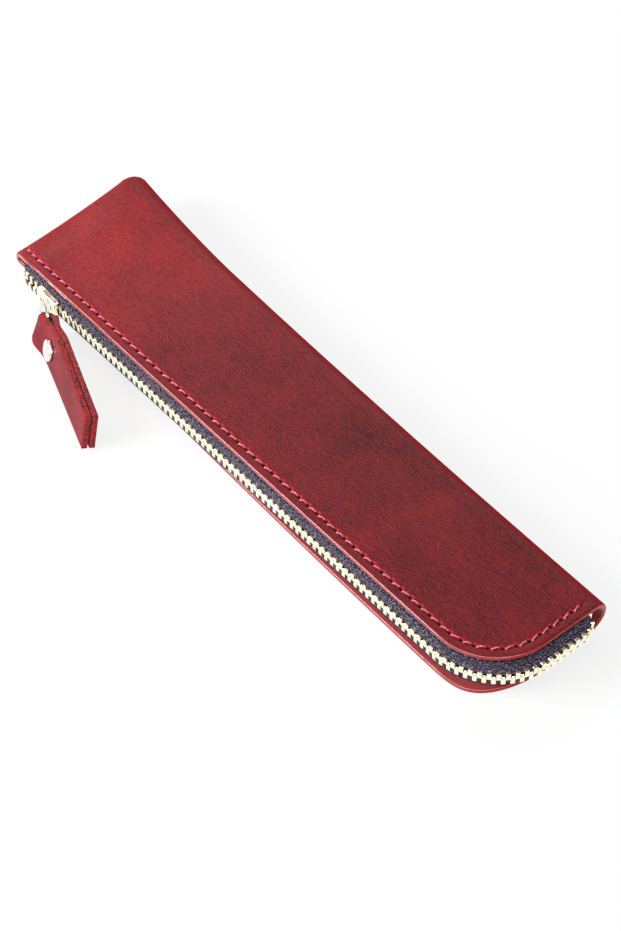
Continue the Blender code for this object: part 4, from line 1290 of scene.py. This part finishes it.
def pull_frame(lean, turned):
    """A frame on the pull: X along it, Y out of its face and Z across it, downwards."""
    along = Vector((math.cos(turned), -math.sin(turned), 0.0)) * math.cos(TAB_DROOP)
    along.z = -math.sin(TAB_DROOP)
    level = along.cross(Vector((0.0, 0.0, 1.0))).normalized()
    rise = level.cross(along)
    face = level * math.cos(lean) + rise * math.sin(lean)
    turn = Matrix((along, face, along.cross(face))).transposed().to_4x4()
    turn.translation = PIVOT
    return turn


def tab_frame():
    turn = pull_frame(TAB_LEAN, TAB_TURN)
    turn.translation = pull_frame(LINK_LEAN, LINK_TURN) @ Vector((LINK_LENGTH, 0.0, 0.0))
    return turn


def link():
    """The closed wire link between the bridge and the tab."""
    half = NECK_HALF + GAP + LINK_WIRE / 2
    points = []
    for end, side, first in ((0.0, -1, 180), (LINK_LENGTH, -1, 270), (LINK_LENGTH, 1, 0), (0.0, 1, 90)):
        centre_x = end + (LINK_CORNER if end == 0.0 else -LINK_CORNER)
        for k in range(8):
            angle = math.radians(first + 90 * k / 7)
            z = side * (half - LINK_CORNER) + LINK_CORNER * math.sin(angle)
            x = centre_x + LINK_CORNER * math.cos(angle)
            points.append(pull_frame(LINK_LEAN, LINK_TURN) @ Vector((x, 0.0, z)))
    ring = wire("wire_link", points, LINK_WIRE / 2, 4, cyclic=True)
    dress(ring, "link", "nickel_steel", [nickel], "pull_link")


def strip_middle(distance):
    """The folded strip's middle line as x along the tab and y off its middle; 0 is the top of the loop."""
    side = 1 if distance >= 0 else -1
    distance = abs(distance)
    if distance < LOOP_RUN:
        turn = math.pi - distance / LOOP_MIDDLE
        return Vector((LOOP_MIDDLE * math.cos(turn), side * LOOP_MIDDLE * math.sin(turn)))
    x = LOOP_END_X + distance - LOOP_RUN
    blend = eased(min((x - LOOP_END_X) / (LOOP_TAPER - LOOP_END_X), 1.0))
    parted = TAB_PARTED * max((x - TAB_LENGTH * PARTED_FROM) / (TAB_LENGTH * (1 - PARTED_FROM)), 0.0)
    return Vector((x, side * (mix(LOOP_END_Y, TAB_SLIT / 2 + TAB_LAYER / 2, blend) + parted)))


def strip_side(x, side):
    """How far a side of the strip lies off its middle: a neck in the link, a low head, then the strip."""
    if x <= side[0][0] * MM:
        return NECK_HALF
    for (x0, w0), (x1, w1) in zip(side, side[1:]):
        if x < x1 * MM:
            return mix(w0, w1, (x / MM - x0) / (x1 - x0)) * MM
    return side[-1][1] * MM


def pull_tab():
    """One strip folded double round the link, cut on the slant, pressed in under the rivet's cap."""
    run = TAB_LENGTH - LOOP_END_X + LOOP_RUN

    def place(c, r):
        across = r / (TAB_ROWS - 1)
        share = 2 * c / (TAB_COLUMNS - 1) - 1
        share = math.copysign(abs(share) ** TAB_CLOSE_UP, share)
        cut_back = TAB_CUT * (1 - across) * abs(share) ** TAB_CUT_CURVE
        point = strip_middle(share * run - math.copysign(cut_back, share))
        down = mix(-strip_side(point.x, UPPER_SIDE), strip_side(point.x, LOWER_SIDE), across)
        # the layers flare apart at the head's low corner, which the link leaves room for
        near = eased(held((FLARE_END - point.x) / FLARE_LENGTH))
        flare = TAB_FLARE * max(down / FLARE_DROP, 0.0) ** 2 * near
        out = point.y + math.copysign(flare, share)
        if point.x < 0:
            out = point.y * (1.0 + flare / LOOP_OUTER)
        return Vector((point.x, out, down))

    tab = lay_grid("leather_pull_tab", TAB_COLUMNS, TAB_ROWS, place)
    tidy_normals(tab)
    middle = min(tab.data.polygons, key=lambda face: face.center.x)
    if middle.normal.x > 0:
        tab.data.flip_normals()
    thicken_leather(tab, TAB_LAYER, [tab_face, tab_nap_painted_shade, cut_edge])
    round_edges(tab, TAB_ROUND, 3, 60)
    for vertex in tab.data.vertices:
        away = math.hypot(vertex.co.x - RIVET_PLACE, vertex.co.z - RIVET_DROP) - CAP_RADIUS
        if abs(vertex.co.y) > TAB_LAYER and away < PRESS_REACH:
            pressed = PRESS_DEPTH * math.exp(-((max(away, 0.0) / PRESS_WIDTH) ** 2))
            vertex.co.y -= math.copysign(pressed, vertex.co.y)
    profile = [(0.0, HOLE_REACH), (POST_RADIUS, HOLE_REACH), (POST_RADIUS, -HOLE_REACH), (0.0, -HOLE_REACH)]
    hole = spin_profile("rivet_hole", profile, 24)
    move_mesh(hole, RIVET_FRAME)
    cut(tab, hole)
    move_mesh(tab, tab_frame())
    smooth(tab, 45)
    place_in_frame(tab, "tab", "tab_leather", "pull_tab")


def rivet():
    """The domed cap on the tab's face, and the post and back plate that close it from behind."""
    seat, back = TAB_FACE, -TAB_FACE
    cap = [(0.0, seat - GAP), (CAP_RADIUS - GAP, seat - GAP), (CAP_RADIUS, seat)]
    for k in range(DOME_STEPS + 1):
        turn = DOME_TURN * k / DOME_STEPS
        rise = (CAP_HEIGHT - CAP_RIM) * math.sin(turn)
        cap.append((CAP_RADIUS * math.cos(turn), seat + CAP_RIM + GAP + rise))
    cap.append((0.0, seat + GAP + CAP_HEIGHT))
    post = [(0.0, seat), (POST_RADIUS, seat), (POST_RADIUS, back), (BACK_RADIUS - GAP, back)]
    low = back - GAP - BACK_HEIGHT
    post += [(BACK_RADIUS, back - GAP), (BACK_RADIUS - BACK_CHAMFER, low), (DIMPLE_RADIUS, low)]
    post += [(POST_RADIUS, back - BACK_HEIGHT), (0.0, back - BACK_HEIGHT)]
    place = tab_frame() @ RIVET_FRAME
    for name, profile, replaced in (("domed_rivet_cap", cap, "rivet_cap"),
                                    ("rivet_post_and_back", post, "rivet_post")):
        piece = spin_profile(name, profile, 48)
        move_mesh(piece, place)
        smooth(piece, 35)
        dress(piece, "tab", "nickel_steel", [nickel], replaced)


# Studio


def straight_rays(tree):
    """1 for rays straight from the camera or through a clear piece, and 1 for rays off a glossy surface."""
    rays = add(tree, "LightPath", out="Is Camera Ray")
    outputs = rays.node.outputs
    return maths(tree, "MAXIMUM", rays, outputs["Is Transmission Ray"]), outputs["Is Glossy Ray"]


def floor():
    """A pale floor that stays white to the camera and keeps the case's soft shadow.

    The metal is lit by it from the front and the short end. Behind the case it mirrors dark, as a black card
    there would, so that the round of the fold keeps its edge.
    """
    ground = new_piece("studio_floor", bpy.ops.mesh.primitive_plane_add, size=6)
    material, tree = new_finish("pale_studio_floor")
    clear, glossy = straight_rays(tree)
    place = add(tree, "TexCoord", out="Object")
    place = add(tree, "SeparateXYZ", {0: place})
    # dark from 30 mm behind the case's middle line on, as far along as its short end
    front = ramp(tree, place.node.outputs[1], 0.03, -0.02, 0.03, 1.25)
    beyond = ramp(tree, place, 0.094, 0.102, 0.03, 1.25)
    matt = add(tree, "BsdfDiffuse", {"Color": linear("f4f4f4")})
    glow = add(tree, "Emission", {"Color": (1, 1, 1, 1), "Strength": 1.0})
    card = add(tree, "Emission", {"Color": (1, 1, 1, 1), "Strength": maths(tree, "MAXIMUM", front, beyond)})
    mixed = add(tree, "MixShader", {0: maths(tree, "MULTIPLY", clear, 0.8), 1: matt, 2: glow})
    mixed = add(tree, "MixShader", {0: glossy, 1: mixed, 2: card})
    add(tree, "OutputMaterial", {"Surface": mixed})
    ground.data.materials.append(material)


def surroundings():
    """Soft light from above that falls off to dark walls, white where the camera sees it."""
    world = bpy.data.worlds.new("studio")
    bpy.context.scene.world = world
    world.use_nodes = True
    tree = world.node_tree
    tree.nodes.clear()
    clear, glossy = straight_rays(tree)
    way = add(tree, "TexCoord", out="Generated")
    height = add(tree, "SeparateXYZ", {0: way}, out=2)
    sky = ramp(tree, height, 0.1, 0.9, 0.05, 0.45)
    # a long bright card before the case, which only glossy surfaces mirror: the thin line on each rounded
    # edge, and the white of the metal
    card = maths(tree, "MULTIPLY", ramp(tree, height, 0.30, 0.38), ramp(tree, height, 0.72, 0.62))
    facing = add(tree, "VectorMath", {0: way, 1: (0.5, -0.86, 0.0)}, out="Value", operation="DOT_PRODUCT")
    card = maths(tree, "MULTIPLY", card, ramp(tree, facing, -0.05, 0.1, 0.0, 11.0))
    sky = maths(tree, "MULTIPLY_ADD", card, glossy, sky)
    strength = add(tree, "Mix", {0: clear, 2: sky, 3: 1.0}, 0)
    light = add(tree, "Background", {"Color": (1, 1, 1, 1), "Strength": strength})
    add(tree, "OutputWorld", {"Surface": light})


def softbox(name, place, target, size, power):
    lamp = bpy.data.lights.new(name, "AREA")
    lamp.shape = "RECTANGLE"
    lamp.size, lamp.size_y = size
    lamp.energy = power
    box = in_scene(name, lamp)
    box.location = place
    box.rotation_mode = "QUATERNION"
    box.rotation_quaternion = (Vector(target) - Vector(place)).to_track_quat("-Z", "Y")


camera()
grain = hide_leather()
nap = flesh_side("napped_flesh_side", "6e1a1c", "a83034")
# the tab's inner flesh side, painted nearly black as painted shade in its slit
tab_nap_painted_shade = flesh_side("shade_painted_flesh_side", "120305", "30080c")
paint = edge_paint()
tab_face = tab_leather()
cut_edge = tab_edge()
brass = zip_brass()
nickel = nickel_plate()
thread = waxed_thread()

zip_plan, zip_distances, zip_marks = zip_line()
zip_length = zip_distances[-1]
row_end = zip_length - TAIL_END - STOP_LENGTH - GAP
leather_case()
seams()
tapes()
teeth()
stops()
slider()
bridge()
link()
pull_tab()
rivet()

floor()
surroundings()
softbox("front_key", (-0.45, -0.68, 0.39), (0.0, 0.0, 0.0), (0.5, 0.4), 12.0)
softbox("left_sheen", (-0.70, 0.30, 0.48), (-0.05, 0.0, 0.0), (0.4, 0.3), 2.0)
softbox("right_fill", (0.62, -0.22, 0.30), (0.09, 0.0, 0.0), (0.4, 0.3), 1.2)
softbox("back_fill", (-0.40, 0.65, 0.40), (0.0, 0.0, 0.0), (0.5, 0.2), 1.5)
bpy.context.scene.view_settings.view_transform = "Standard"
